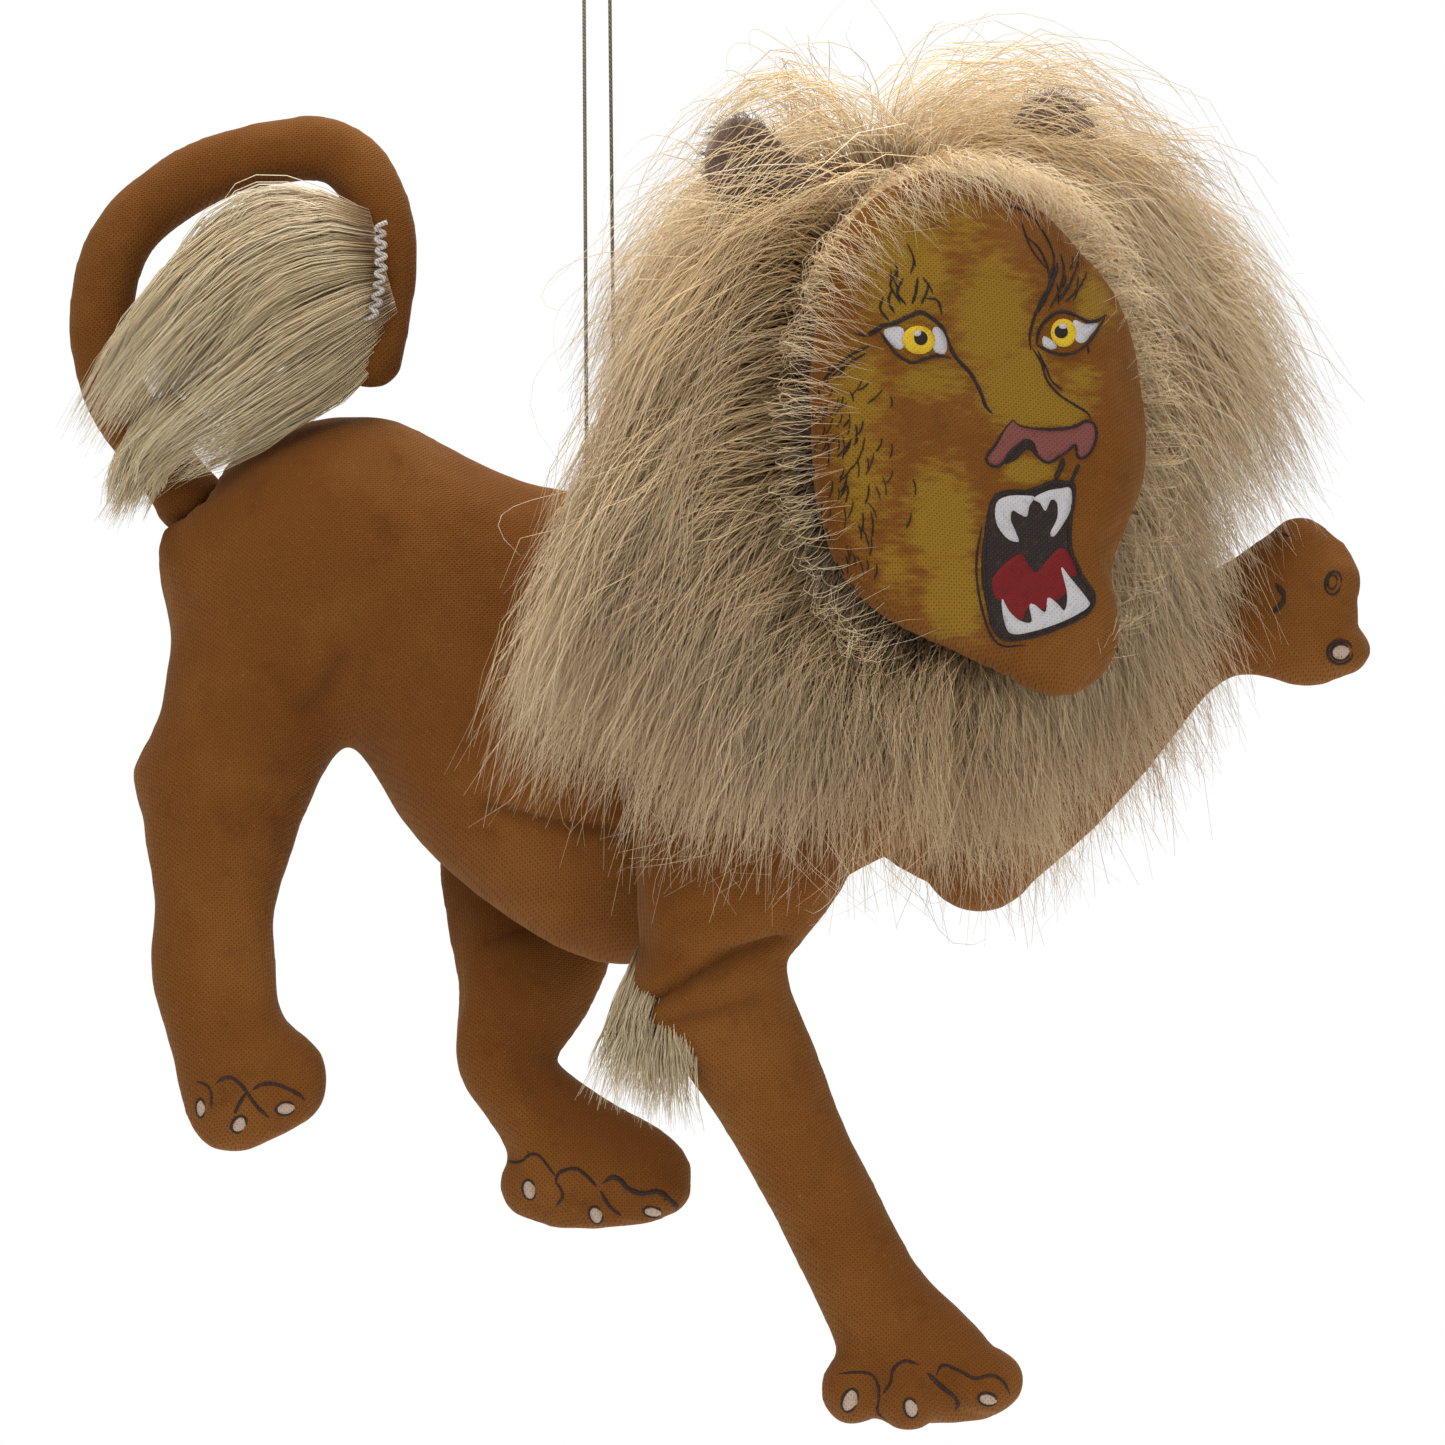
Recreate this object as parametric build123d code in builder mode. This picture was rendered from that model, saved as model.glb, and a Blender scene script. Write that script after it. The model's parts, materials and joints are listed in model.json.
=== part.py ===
from build123d import *
import os
from math import cos, radians, sin, sqrt, tan

os.makedirs("parts", exist_ok=True)

# A hand-sewn, stuffed cloth lion that hangs from one doubled thread.
# Millimetres. +Z up, the lion strides towards +X, its right side faces -Y.
# The origin is the seat of the hanging loop, where a hook carries the figure.

# ---------------------------------------------------------------- driving sizes
loop_drop = 62.2  # loop seat down to the knots on the back
thread_diameter = 0.4
hook_radius = 1.25  # bend of the thread over its hook
body_length = 84.4  # rump to chest
body_thickness = 26.0  # widest, side to side
right_hind_leg_length = 40.3  # soft fold at the haunch to the toes
left_hind_leg_length = 48.9  # hip tie to the toes
forearm_length = 47.3  # right elbow to the toes
raised_forearm_reach = 41.6  # left elbow forward to the paw's tip
cloth = 0.4  # thickness of the sewn cotton
tail_radius = 3.6
head_radius = 16.5
head_half_height = 25.0
face_width = 40.5
face_height = 57.0
face_half_thickness = 5.5
face_drop = 4.0  # the face cushion hangs lower than the head's core
neck_radius = 4.8
neck_ball_radius = 7.0
tie_radius = 0.7  # waxed thread that ties the far hind leg on
tail_wire_radius = 0.6

# ---------------------------------------------------------------- clearances
ease = 0.1  # stuffing to cloth
seat = 0.15  # pieces sewn on to each other
swing = 0.4  # between pieces that move on each other
tie_fit = 0.08  # hinge tie in its hole
head_room = 4.0  # scooped shoulders under the head

# ---------------------------------------------------------------- places on the body
side = body_thickness / 2
knot_level = -loop_drop
rump_x = -0.5545 * body_length


def along(share):
    """X of a point a share of the body's length ahead of the rump."""
    return rump_x + share * body_length


right_hip = (along(0.070), knot_level - 25.4)
left_hip = (along(0.4715), knot_level - 26.8)
right_elbow = (along(0.7014), knot_level - 48.0)
left_elbow = (along(1.051), knot_level - 33.7)
tail_root = (along(0.030), knot_level + 4.4)
neck_centre = (along(0.8507), -1.0, knot_level - 4.8)
head_centre = (neck_centre[0] + 6.5, neck_centre[1] - 0.5, neck_centre[2] + 19.5)
face_turn = 25.0  # degrees that the face looks ahead of straight to the side

# Sections across a limb: x, y, z of the centre, lean of the limb's run in degrees
# from straight down towards +X, half width in the XZ plane, half depth along Y.


def across(x, y, z, lean):
    """Plane square to a limb that runs at a lean; its own x points along world Y."""
    run = (sin(radians(lean)), 0, -cos(radians(lean)))
    return Plane(origin=(x, y, z), x_dir=(0, 1, 0), z_dir=run)


def limb(sections, grow=0.0):
    """One smooth closed form through the sections, its skin moved out by grow."""
    planes = [across(x, y, z, lean) for x, y, z, lean, _, _ in sections]
    planes[0] = planes[0].offset(-grow)
    planes[-1] = planes[-1].offset(grow)
    with BuildPart() as form:
        for plane, (_, _, _, _, half_width, half_depth) in zip(planes, sections):
            with BuildSketch(plane):
                Ellipse(half_depth + grow, half_width + grow)
        loft()
    return form.part


def dome(x, y, z, lean, radius, depth):
    """Sections of the round end above a joint, for the top of a limb."""
    back = (-sin(radians(lean)), cos(radians(lean)))
    steps = ((0.96, 0.28), (0.80, 0.60), (0.45, 0.893))
    return [
        (x + rise * radius * back[0], y, z + rise * radius * back[1], lean, share * radius, share * depth)
        for rise, share in steps
    ]


def barrel(x, y, z, radius):
    """A bar along Y, longer than the figure is thick, that clears a hinge's swing."""
    with BuildPart() as bar:
        with BuildSketch(Plane.XZ.offset(-y)):
            with Locations((x, z)):
                Circle(radius)
        extrude(amount=2 * body_thickness, both=True)
    return bar.part


def ball(x, y, z, radius):
    """A plain ball."""
    with BuildPart() as sphere:
        with Locations((x, y, z)):
            Sphere(radius)
    return sphere.part


def egg(centre, radius, half_height):
    """A round form about an upright axis, an ellipse in side view."""
    with BuildPart() as form:
        Sphere(radius)
        scale(by=(1, 1, half_height / radius))
    return form.part.moved(Location(centre))


def joined(forms, cuts=()):
    """All forms as one, less the cuts."""
    with BuildPart() as whole:
        for form in forms:
            add(form)
        for cut in cuts:
            add(cut, mode=Mode.SUBTRACT)
    return whole.part


def bag(shape):
    """Outside, inside and stuffing of a sewn bag; shape(grow) gives the form at a depth."""
    return shape(0.0), shape(-cloth), shape(-cloth - ease)


# ---------------------------------------------------------------- torso
torso_sections = [
    (along(share), 0, knot_level + rise, 90, half_height, thick * side)
    for share, rise, half_height, thick in (
        (-0.012, -3.2, 4.2, 0.28),
        (0.000, -3.4, 7.5, 0.46),
        (0.051, -4.6, 11.7, 0.69),
        (0.128, -3.6, 15.3, 0.85),
        (0.230, -3.6, 17.7, 0.92),
        (0.306, -8.6, 21.8, 0.96),
        (0.408, -15.2, 24.0, 1.00),
        (0.498, -19.0, 25.3, 1.00),
        (0.592, -20.5, 26.2, 1.00),
        (0.688, -20.3, 24.0, 1.00),
        (0.790, -21.7, 19.4, 0.96),
        (0.879, -23.0, 13.7, 0.88),
        (0.956, -23.9, 9.6, 0.77),
        (1.000, -24.0, 5.8, 0.50),
    )
]
hip_x, hip_z = right_hip
haunch_sections = [
    (hip_x + 3.7, 0, hip_z + 21.0, 0, 6.0, 6.0),
    (hip_x + 2.9, 0, hip_z + 14.5, 0, 9.0, 8.6),
    (hip_x + 2.6, -1, hip_z + 5.9, 0, 10.3, 9.2),
    (hip_x, -2, hip_z - 1.0, 0, 8.9, 8.3),
]
haunch_radius = 8.9

# The head needs room over the shoulders, and the neck a socket between them.
neck_x, neck_y, neck_z = neck_centre
neck_foot = neck_z - 14.0


def upright(x, y, bottom, top, radius):
    """A round bar standing at x, y."""
    with BuildPart() as bar:
        with BuildSketch(Plane.XY.offset(bottom)):
            with Locations((x, y)):
                Circle(radius)
        extrude(amount=top - bottom)
    return bar.part


def torso_body(grow):
    """Trunk and haunch as one, whole."""
    return joined([limb(torso_sections, grow), limb(haunch_sections, grow)])


def torso_rooms(grow):
    """What the torso leaves free: the thigh's fold, the head, the neck and the tail's root."""
    return [
        barrel(hip_x, 0, hip_z, haunch_radius + swing - grow),
        egg(head_centre, head_radius + head_room - grow, head_half_height + head_room - grow),
        upright(neck_x, neck_y, neck_foot - swing + grow, neck_z + 6, neck_radius + swing - grow),
        ball(neck_x, neck_y, neck_z, neck_ball_radius + swing - grow),
        ball(tail_root[0], 0, tail_root[1], tail_radius + 0.5 + swing - grow),
    ]


def torso_bag(grow):
    """The torso at a depth under its cloth."""
    return joined([torso_body(grow)], torso_rooms(grow))


torso_outside, torso_inside, torso_stuffing = bag(torso_bag)

# The far hind leg turns on a waxed tie through the barrel.
tie_start = side - 7.0
leg_inner = side + 0.4
leg_outer = side + 9.6
with BuildPart() as tie_room:
    with BuildSketch(Plane.XZ.offset(-tie_start)):
        with Locations(left_hip):
            Circle(tie_radius + tie_fit)
    extrude(amount=-2 * side)

with BuildPart() as torso_skin:
    add(torso_outside)
    add(torso_inside, mode=Mode.SUBTRACT)
    add(tie_room.part, mode=Mode.SUBTRACT)

with BuildPart() as torso_filling:
    add(torso_stuffing)
    add(tie_room.part, mode=Mode.SUBTRACT)

# ---------------------------------------------------------------- right hind leg
hind_reach = right_hind_leg_length
right_hind_sections = dome(hip_x, -2, hip_z, 0, haunch_radius, 8.3) + [
    (hip_x + dx, y, hip_z - share * hind_reach, lean, half_width, half_depth)
    for share, dx, y, lean, half_width, half_depth in (
        (0.000, 0.0, -2.0, 0, 8.9, 8.3),
        (0.228, -0.3, -3.0, 0, 7.5, 7.2),
        (0.414, -0.9, -4.0, 0, 6.2, 6.2),
        (0.600, -0.5, -5.0, 5, 6.5, 6.0),
        (0.720, 1.1, -5.5, 15, 6.6, 5.6),
        (0.826, 3.3, -5.7, 27, 8.0, 5.2),
        (0.921, 5.1, -5.8, 27, 7.2, 4.4),
        (0.975, 6.0, -5.8, 27, 4.4, 2.6),
    )
]


def right_hind_bag(grow):
    """The near hind leg at a depth under its cloth."""
    return limb(right_hind_sections, grow)


right_hind_outside, right_hind_inside, right_hind_stuffing = bag(right_hind_bag)
with BuildPart() as right_hind_leg_skin:
    add(right_hind_outside)
    add(right_hind_inside, mode=Mode.SUBTRACT)

with BuildPart() as right_hind_leg_filling:
    add(right_hind_stuffing)

# ---------------------------------------------------------------- left hind leg
left_hind_sections = [
    (left_hip[0] + dx, side + out, left_hip[1] - share * left_hind_leg_length, lean, half_width, half_depth)
    for share, dx, out, lean, half_width, half_depth in (
        (-0.150, 0.0, 5.0, 0, 3.6, 1.9),
        (-0.110, 0.0, 5.0, 0, 7.2, 3.5),
        (0.000, 0.0, 5.2, 0, 10.2, 4.6),
        (0.100, 0.0, 5.0, 0, 11.1, 5.0),
        (0.200, 0.1, 3.7, 0, 11.2, 5.3),
        (0.320, -0.2, 1.2, 0, 10.2, 5.7),
        (0.430, -0.8, -0.6, -5, 8.6, 5.8),
        (0.530, -2.1, -2.0, -10, 7.0, 5.6),
        (0.620, -3.0, -3.0, 5, 5.9, 5.4),
        (0.710, -0.3, -3.2, 30, 5.7, 5.2),
        (0.800, 3.4, -3.5, 30, 7.3, 5.0),
        (0.895, 7.3, -3.7, 15, 10.2, 4.6),
        (0.960, 8.2, -3.7, 8, 8.0, 3.6),
        (0.995, 8.4, -3.7, 5, 4.3, 2.0),
    )
]


def left_hind_bag(grow):
    """The far hind leg at a depth under its cloth."""
    return limb(left_hind_sections, grow)


left_hind_outside, left_hind_inside, left_hind_stuffing = bag(left_hind_bag)
with BuildPart() as left_hind_leg_skin:
    add(left_hind_outside)
    add(left_hind_inside, mode=Mode.SUBTRACT)
    add(tie_room.part, mode=Mode.SUBTRACT)

with BuildPart() as left_hind_leg_filling:
    add(left_hind_stuffing)
    add(tie_room.part, mode=Mode.SUBTRACT)

# Waxed tie: a shank from the barrel out through the leg, and a knot outside.
tie_knot_radius = 1.8
tie_knot_height = 1.0
with BuildPart() as left_hip_tie:
    with BuildSketch(Plane.XZ.offset(-(tie_start + ease))):
        with Locations(left_hip):
            Circle(tie_radius)
    extrude(amount=-(leg_outer + swing - 2 * ease - tie_start + tie_knot_height))
    with BuildSketch(Plane.XZ.offset(-(leg_outer + swing))):
        with Locations(left_hip):
            Circle(tie_knot_radius)
    extrude(amount=-tie_knot_height)

# ---------------------------------------------------------------- right foreleg
elbow_x, elbow_z = right_elbow
elbow_radius = 8.2
right_upper_sections = [
    (elbow_x + dx, -side - out, elbow_z + dz, lean, half_width, half_depth)
    for dx, out, dz, lean, half_width, half_depth in (
        (3.7, 1.0, 35.1, 0, 7.0, 3.5),
        (4.0, 1.5, 30.8, 0, 10.5, 5.5),
        (4.3, 2.0, 24.4, 0, 12.3, 7.0),
        (4.2, 2.0, 16.9, 0, 13.0, 7.5),
        (2.9, 2.0, 11.5, -5, 11.6, 7.5),
        (0.8, 1.6, 6.1, -10, 9.4, 7.2),
        (-0.2, 1.2, 1.3, -5, 8.0, 6.7),
    )
]
right_fore_sections = dome(elbow_x + 0.3, -side - 1, elbow_z, 14, elbow_radius - 0.3, 6.6) + [
    (elbow_x + dx, -side - out, elbow_z - share * forearm_length, lean, half_width, half_depth)
    for share, dx, out, lean, half_width, half_depth in (
        (0.000, 0.4, 1.0, 17, 7.9, 6.6),
        (0.167, 4.6, 0.5, 22, 7.1, 6.4),
        (0.357, 9.1, 0.0, 26, 6.1, 5.8),
        (0.564, 13.9, -0.5, 26, 5.9, 5.4),
        (0.734, 18.2, -1.0, 24, 6.5, 5.2),
        (0.867, 22.3, -1.0, 8, 9.4, 4.8),
        (0.928, 23.1, -1.0, 3, 10.3, 4.5),
        (0.972, 23.1, -1.0, 0, 8.0, 3.6),
        (0.998, 22.8, -1.0, 0, 4.3, 2.0),
    )
]


# Degrees that each elbow bends, back and forward, with a little to spare.
right_elbow_range = (-20, 20)
left_elbow_range = (-12, 14)


def forearm_sweep(sections, x, z, limits, extra):
    """The room that a forearm takes up as its elbow bends."""
    hinge = Axis((x, 0, z), (0, -1, 0))
    form = limb(sections, extra)
    return [form.rotate(hinge, angle) for angle in (limits[0], 0, limits[1])]


def right_upper_bag(grow):
    """The near upper arm, seated on the torso's side and hollowed over the elbow."""
    return joined(
        [limb(right_upper_sections, grow)],
        [torso_body(seat - grow), barrel(elbow_x, 0, elbow_z, elbow_radius + swing - grow)]
        + forearm_sweep(right_fore_sections, elbow_x, elbow_z, right_elbow_range, swing - grow),
    )


def right_fore_bag(grow):
    """The near forearm at a depth under its cloth."""
    return limb(right_fore_sections, grow)


right_upper_outside, right_upper_inside, right_upper_stuffing = bag(right_upper_bag)
with BuildPart() as right_upper_arm_skin:
    add(right_upper_outside)
    add(right_upper_inside, mode=Mode.SUBTRACT)

with BuildPart() as right_upper_arm_filling:
    add(right_upper_stuffing)

right_fore_outside, right_fore_inside, right_fore_stuffing = bag(right_fore_bag)
with BuildPart() as right_forearm_skin:
    add(right_fore_outside)
    add(right_fore_inside, mode=Mode.SUBTRACT)

with BuildPart() as right_forearm_filling:
    add(right_fore_stuffing)

# Fur tuft sewn behind the near elbow.
elbow_tuft_sections = [
    (elbow_x - 6.4, -side - 3.0, elbow_z - 0.6, -5, 2.2, 2.0),
    (elbow_x - 6.6, -side - 3.0, elbow_z - 5.9, -5, 3.6, 2.6),
    (elbow_x - 8.0, -side - 2.5, elbow_z - 11.3, -10, 2.6, 2.0),
    (elbow_x - 8.9, -side - 2.2, elbow_z - 14.3, -10, 1.0, 0.9),
]
elbow_tuft_form = limb(elbow_tuft_sections)
forearm_seat = limb(right_fore_sections, seat)
with BuildPart() as elbow_tuft:
    add(elbow_tuft_form)
    add(forearm_seat, mode=Mode.SUBTRACT)

# ---------------------------------------------------------------- left foreleg
far_x, far_z = left_elbow
far_elbow_radius = 6.2
left_upper_sections = [
    (far_x + dx, side + out, far_z + dz, lean, half_width, half_depth)
    for dx, out, dz, lean, half_width, half_depth in (
        (-16.0, -0.5, 13.5, 42, 4.5, 2.6),
        (-14.0, 0.0, 11.5, 45, 7.6, 4.4),
        (-9.0, 0.0, 7.5, 50, 8.2, 5.3),
        (-4.0, -0.3, 3.0, 50, 7.2, 5.6),
        (0.5, -0.5, -0.5, 50, 6.2, 5.5),
    )
]
left_fore_sections = dome(far_x, side - 0.5, far_z, 120, far_elbow_radius, 5.5) + [
    (far_x + share * raised_forearm_reach, side + out, far_z + dz, lean, half_width, half_depth)
    for share, out, dz, lean, half_width, half_depth in (
        (0.000, -0.5, 0.0, 122, 6.2, 5.5),
        (0.142, -0.6, 4.0, 130, 6.2, 5.6),
        (0.298, -1.0, 10.2, 137, 6.0, 5.4),
        (0.440, -1.5, 16.9, 137, 5.9, 5.2),
        (0.582, -2.2, 22.8, 126, 5.8, 5.0),
        (0.724, -3.0, 25.5, 108, 7.4, 4.8),
        (0.841, -3.5, 26.6, 100, 9.2, 4.6),
        (0.930, -3.8, 27.1, 97, 8.5, 4.0),
        (1.000, -4.0, 27.4, 95, 5.4, 2.6),
    )
]


def left_upper_bag(grow):
    """The far upper arm, seated on the torso's far side and clear of the forearm."""
    return joined(
        [limb(left_upper_sections, grow)],
        [torso_body(seat - grow), barrel(far_x, 0, far_z, far_elbow_radius + swing - grow)]
        + forearm_sweep(left_fore_sections, far_x, far_z, left_elbow_range, swing - grow),
    )


def left_fore_bag(grow):
    """The raised forearm at a depth under its cloth."""
    return limb(left_fore_sections, grow)


left_upper_outside, left_upper_inside, left_upper_stuffing = bag(left_upper_bag)
with BuildPart() as left_upper_arm_skin:
    add(left_upper_outside)
    add(left_upper_inside, mode=Mode.SUBTRACT)

with BuildPart() as left_upper_arm_filling:
    add(left_upper_stuffing)

left_fore_outside, left_fore_inside, left_fore_stuffing = bag(left_fore_bag)
with BuildPart() as left_forearm_skin:
    add(left_fore_outside)
    add(left_fore_inside, mode=Mode.SUBTRACT)

with BuildPart() as left_forearm_filling:
    add(left_fore_stuffing)

# ---------------------------------------------------------------- neck


def neck_bag(grow):
    """Neck stump with the ball that the head nods on."""
    stump = upright(neck_x, neck_y, neck_foot - grow, neck_z, neck_radius + grow)
    return joined([stump, ball(neck_x, neck_y, neck_z, neck_ball_radius + grow)])


neck_outside, neck_inside, neck_stuffing = bag(neck_bag)
with BuildPart() as neck_skin:
    add(neck_outside)
    add(neck_inside, mode=Mode.SUBTRACT)

with BuildPart() as neck_filling:
    add(neck_stuffing)

# ---------------------------------------------------------------- head
looks = (sin(radians(face_turn)), -cos(radians(face_turn)), 0)
across_face = (cos(radians(face_turn)), sin(radians(face_turn)), 0)


def face_plane(distance, drop=0.0):
    """Upright plane that faces the way the lion looks, ahead of the head's centre."""
    spot = Vector(*head_centre) + Vector(*looks) * distance - Vector(0, 0, drop)
    return Plane(origin=spot, x_dir=across_face, z_dir=looks)


def head_bag(grow):
    """The head's core over its ball socket."""
    core = egg(head_centre, head_radius + grow, head_half_height + grow)
    return joined([core], [ball(neck_x, neck_y, neck_z, neck_ball_radius + swing - grow)])


head_outside, head_inside, head_stuffing = bag(head_bag)
with BuildPart() as head_skin:
    add(head_outside)
    add(head_inside, mode=Mode.SUBTRACT)

with BuildPart() as head_filling:
    add(head_stuffing)

# The face cushion's outline, as shares of its half width and half height.
face_outline = (
    (-1.00, 0.15),
    (-0.96, -0.23),
    (-0.76, -0.57),
    (-0.39, -0.76),
    (0.12, -0.91),
    (0.52, -1.00),
    (0.80, -0.86),
    (0.80, -0.55),
    (1.00, -0.15),
    (0.99, 0.15),
    (0.85, 0.50),
    (0.62, 0.70),
    (0.17, 0.94),
    (-0.22, 1.00),
    (-0.60, 0.90),
    (-0.90, 0.60),
)
face_middle = head_radius + seat + face_half_thickness


def face_form(grow):
    """The face cushion: the outline at its middle, drawn in towards front and back."""
    reach = face_half_thickness + grow
    with BuildPart() as form:
        for depth, size in ((-1.0, 0.62), (-0.8, 0.85), (0.0, 1.0), (0.8, 0.85), (1.0, 0.62)):
            half_width = size * face_width / 2 + grow
            half_height = size * face_height / 2 + grow
            points = [(u * half_width, v * half_height) for u, v in face_outline]
            with BuildSketch(face_plane(face_middle + depth * reach, face_drop)):
                with BuildLine():
                    Spline(*points, periodic=True)
                make_face()
        loft()
    return form.part


face_outside, face_inside, face_stuffing = bag(face_form)
with BuildPart() as face_skin:
    add(face_outside)
    add(face_inside, mode=Mode.SUBTRACT)

with BuildPart() as face_filling:
    add(face_stuffing)

# Fur: a knitted backing sewn round the head, and its long pile.
backing = 0.8
backing_edge = 6.0
pile_edge = 8.0
pile_radius = 29.0
pile_half_height = 35.0


def ahead_of_face(distance):
    """Everything ahead of a plane across the head."""
    with BuildPart() as block:
        with BuildSketch(face_plane(distance)):
            Rectangle(6 * head_radius, 6 * head_half_height)
        extrude(amount=3 * head_radius)
    return block.part


neck_opening = ball(neck_x, neck_y, neck_z, neck_ball_radius + 3.0)
head_seat = egg(head_centre, head_radius + seat, head_half_height + seat)
backing_outside = egg(head_centre, head_radius + seat + backing, head_half_height + seat + backing)
front_of_backing = ahead_of_face(backing_edge)
with BuildPart() as mane_backing:
    add(backing_outside)
    add(head_seat, mode=Mode.SUBTRACT)
    add(front_of_backing, mode=Mode.SUBTRACT)
    add(neck_opening, mode=Mode.SUBTRACT)

# Felt ears stand on the backing and look the way the face does.
ear_thickness = 1.2
ear_width = 9.0
ear_length = 17.5


def ear(foot_across, foot_up, tilt):
    """A rounded felt tongue; its foot is left of or right of the head's centre."""
    flat = face_plane(2.0)
    with BuildPart() as felt:
        with BuildSketch(flat):
            with Locations(Location((foot_across, foot_up), tilt)):
                with Locations((0, ear_length / 2)):
                    SlotOverall(ear_length, ear_width, rotation=90)
        extrude(amount=ear_thickness)
    return felt.part


ear_seat = egg(head_centre, head_radius + 2 * seat + backing, head_half_height + 2 * seat + backing)
right_ear_form = ear(-8.5, 15.0, 48)
left_ear_form = ear(10.5, 17.5, -28)
with BuildPart() as right_ear:
    add(right_ear_form)
    add(ear_seat, mode=Mode.SUBTRACT)

with BuildPart() as left_ear:
    add(left_ear_form)
    add(ear_seat, mode=Mode.SUBTRACT)

pile_centre = (head_centre[0] + 1.5, head_centre[1] - 1.5, head_centre[2] + 0.5)
pile_outside = egg(pile_centre, pile_radius, pile_half_height)
front_of_pile = ahead_of_face(pile_edge)
shoulder_line = knot_level + 12.5
lock_end = knot_level - 7.0
ruff_pile_thickness = 3.2
lock_back = side + backing + ruff_pile_thickness + head_room
with BuildPart() as shoulder_room:
    with BuildSketch(Plane.XY.offset(shoulder_line)):
        with Locations((head_centre[0], -lock_back)):
            Rectangle(6 * head_radius, 6 * head_radius, align=(Align.CENTER, Align.MIN))
    extrude(amount=-3 * head_half_height)
with BuildPart() as under_locks:
    with BuildSketch(Plane.XY.offset(lock_end)):
        with Locations((head_centre[0], 0)):
            Rectangle(6 * head_radius, 6 * head_radius)
    extrude(amount=-2 * head_half_height)
ear_rooms = joined([ear(-8.5, 15.0, 48), ear(10.5, 17.5, -28)])
with BuildPart() as ear_slots:
    add(offset(ear_rooms, amount=seat, kind=Kind.INTERSECTION))
with BuildPart() as mane_pile:
    add(pile_outside)
    add(ear_seat, mode=Mode.SUBTRACT)
    add(front_of_pile, mode=Mode.SUBTRACT)
    add(shoulder_room.part, mode=Mode.SUBTRACT)
    add(under_locks.part, mode=Mode.SUBTRACT)
    add(ear_slots.part, mode=Mode.SUBTRACT)

# ---------------------------------------------------------------- shoulder ruff
ruff_band = (along(0.665), along(0.72))
ruff_reach = (along(0.605), along(0.80))


def between(limits):
    """A block that holds all of the body between two places along X."""
    with BuildPart() as block:
        with BuildSketch(Plane.YZ.offset(limits[0])):
            with Locations((0, knot_level)):
                Rectangle(4 * body_thickness, 4 * body_thickness)
        extrude(amount=limits[1] - limits[0])
    return block.part


ruff_seat = torso_body(seat)
ruff_band_outside = torso_body(seat + backing)
ruff_pile_seat = torso_body(2 * seat + backing)
ruff_outside = torso_body(seat + backing + ruff_pile_thickness)
arm_room = joined([limb(right_upper_sections, seat), limb(left_upper_sections, seat)])
ruff_head_room = egg(head_centre, head_radius + head_room, head_half_height + head_room)
ruff_bottom = knot_level - 22.0
with BuildPart() as below_ruff:
    with BuildSketch(Plane.XY.offset(ruff_bottom)):
        Rectangle(4 * body_length, 4 * body_thickness)
    extrude(amount=-body_length)
ruff_band_block = between(ruff_band)
ruff_pile_block = between(ruff_reach)
with BuildPart() as ruff_backing:
    add(ruff_band_outside)
    add(ruff_seat, mode=Mode.SUBTRACT)
    add(arm_room, mode=Mode.SUBTRACT)
    add(ruff_head_room, mode=Mode.SUBTRACT)
    add(below_ruff.part, mode=Mode.SUBTRACT)
    add(ruff_band_block, mode=Mode.INTERSECT)

with BuildPart() as ruff_pile:
    add(ruff_outside)
    add(ruff_pile_seat, mode=Mode.SUBTRACT)
    add(arm_room, mode=Mode.SUBTRACT)
    add(ruff_head_room, mode=Mode.SUBTRACT)
    add(below_ruff.part, mode=Mode.SUBTRACT)
    add(ruff_pile_block, mode=Mode.INTERSECT)

# ---------------------------------------------------------------- tail
root_x, root_z = tail_root
tail_points = [
    (root_x, 0.0, root_z),
    (root_x - 10.2, 1.5, root_z + 13.5),
    (root_x - 9.2, 2.0, root_z + 28.5),
    (root_x + 2.3, 1.0, root_z + 37.0),
    (root_x + 17.3, 0.0, root_z + 39.0),
    (root_x + 22.0, -1.0, root_z + 28.5),
    (root_x + 19.8, -2.0, root_z + 15.5),
]


def bend_radii(points):
    """Largest round bend that each corner's shorter run allows."""
    radii = []
    for before, corner, after in zip(points, points[1:], points[2:]):
        first = Vector(*corner) - Vector(*before)
        second = Vector(*after) - Vector(*corner)
        turn = radians(first.get_angle(second))
        radii.append(0.45 * min(first.length, second.length) / tan(turn / 2))
    return radii


def tube(points, radii, radius):
    """A round tube along runs joined by tangent arcs."""
    with BuildPart() as form:
        with BuildLine() as route:
            FilletPolyline(*points, radius=radii)
        start = Vector(*points[0])
        with BuildSketch(Plane(origin=start, z_dir=Vector(*points[1]) - start)):
            Circle(radius)
        sweep(path=route.line)
    return form.part


tail_radii = bend_radii(tail_points)
print("tail bends", [round(radius, 1) for radius in tail_radii])


def tail_bag(grow):
    """The tail with its root ball and its rounded end."""
    end = tail_points[-1]
    return joined(
        [
            tube(tail_points, tail_radii, tail_radius + grow),
            ball(root_x, 0, root_z, tail_radius + 0.5 + grow),
            ball(end[0], end[1], end[2], tail_radius + grow),
        ]
    )


tail_outside, tail_inside, tail_stuffing = bag(tail_bag)
tail_wire_form = tube(tail_points, tail_radii, tail_wire_radius)
tail_wire_room = joined(
    [tube(tail_points, tail_radii, tail_wire_radius + ease)]
    + [ball(*tail_points[0], tail_wire_radius + ease), ball(*tail_points[-1], tail_wire_radius + ease)]
)
with BuildPart() as tail_skin:
    add(tail_outside)
    add(tail_inside, mode=Mode.SUBTRACT)

with BuildPart() as tail_filling:
    add(tail_stuffing)
    add(tail_wire_room, mode=Mode.SUBTRACT)

with BuildPart() as tail_wire:
    add(tail_wire_form)

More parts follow.
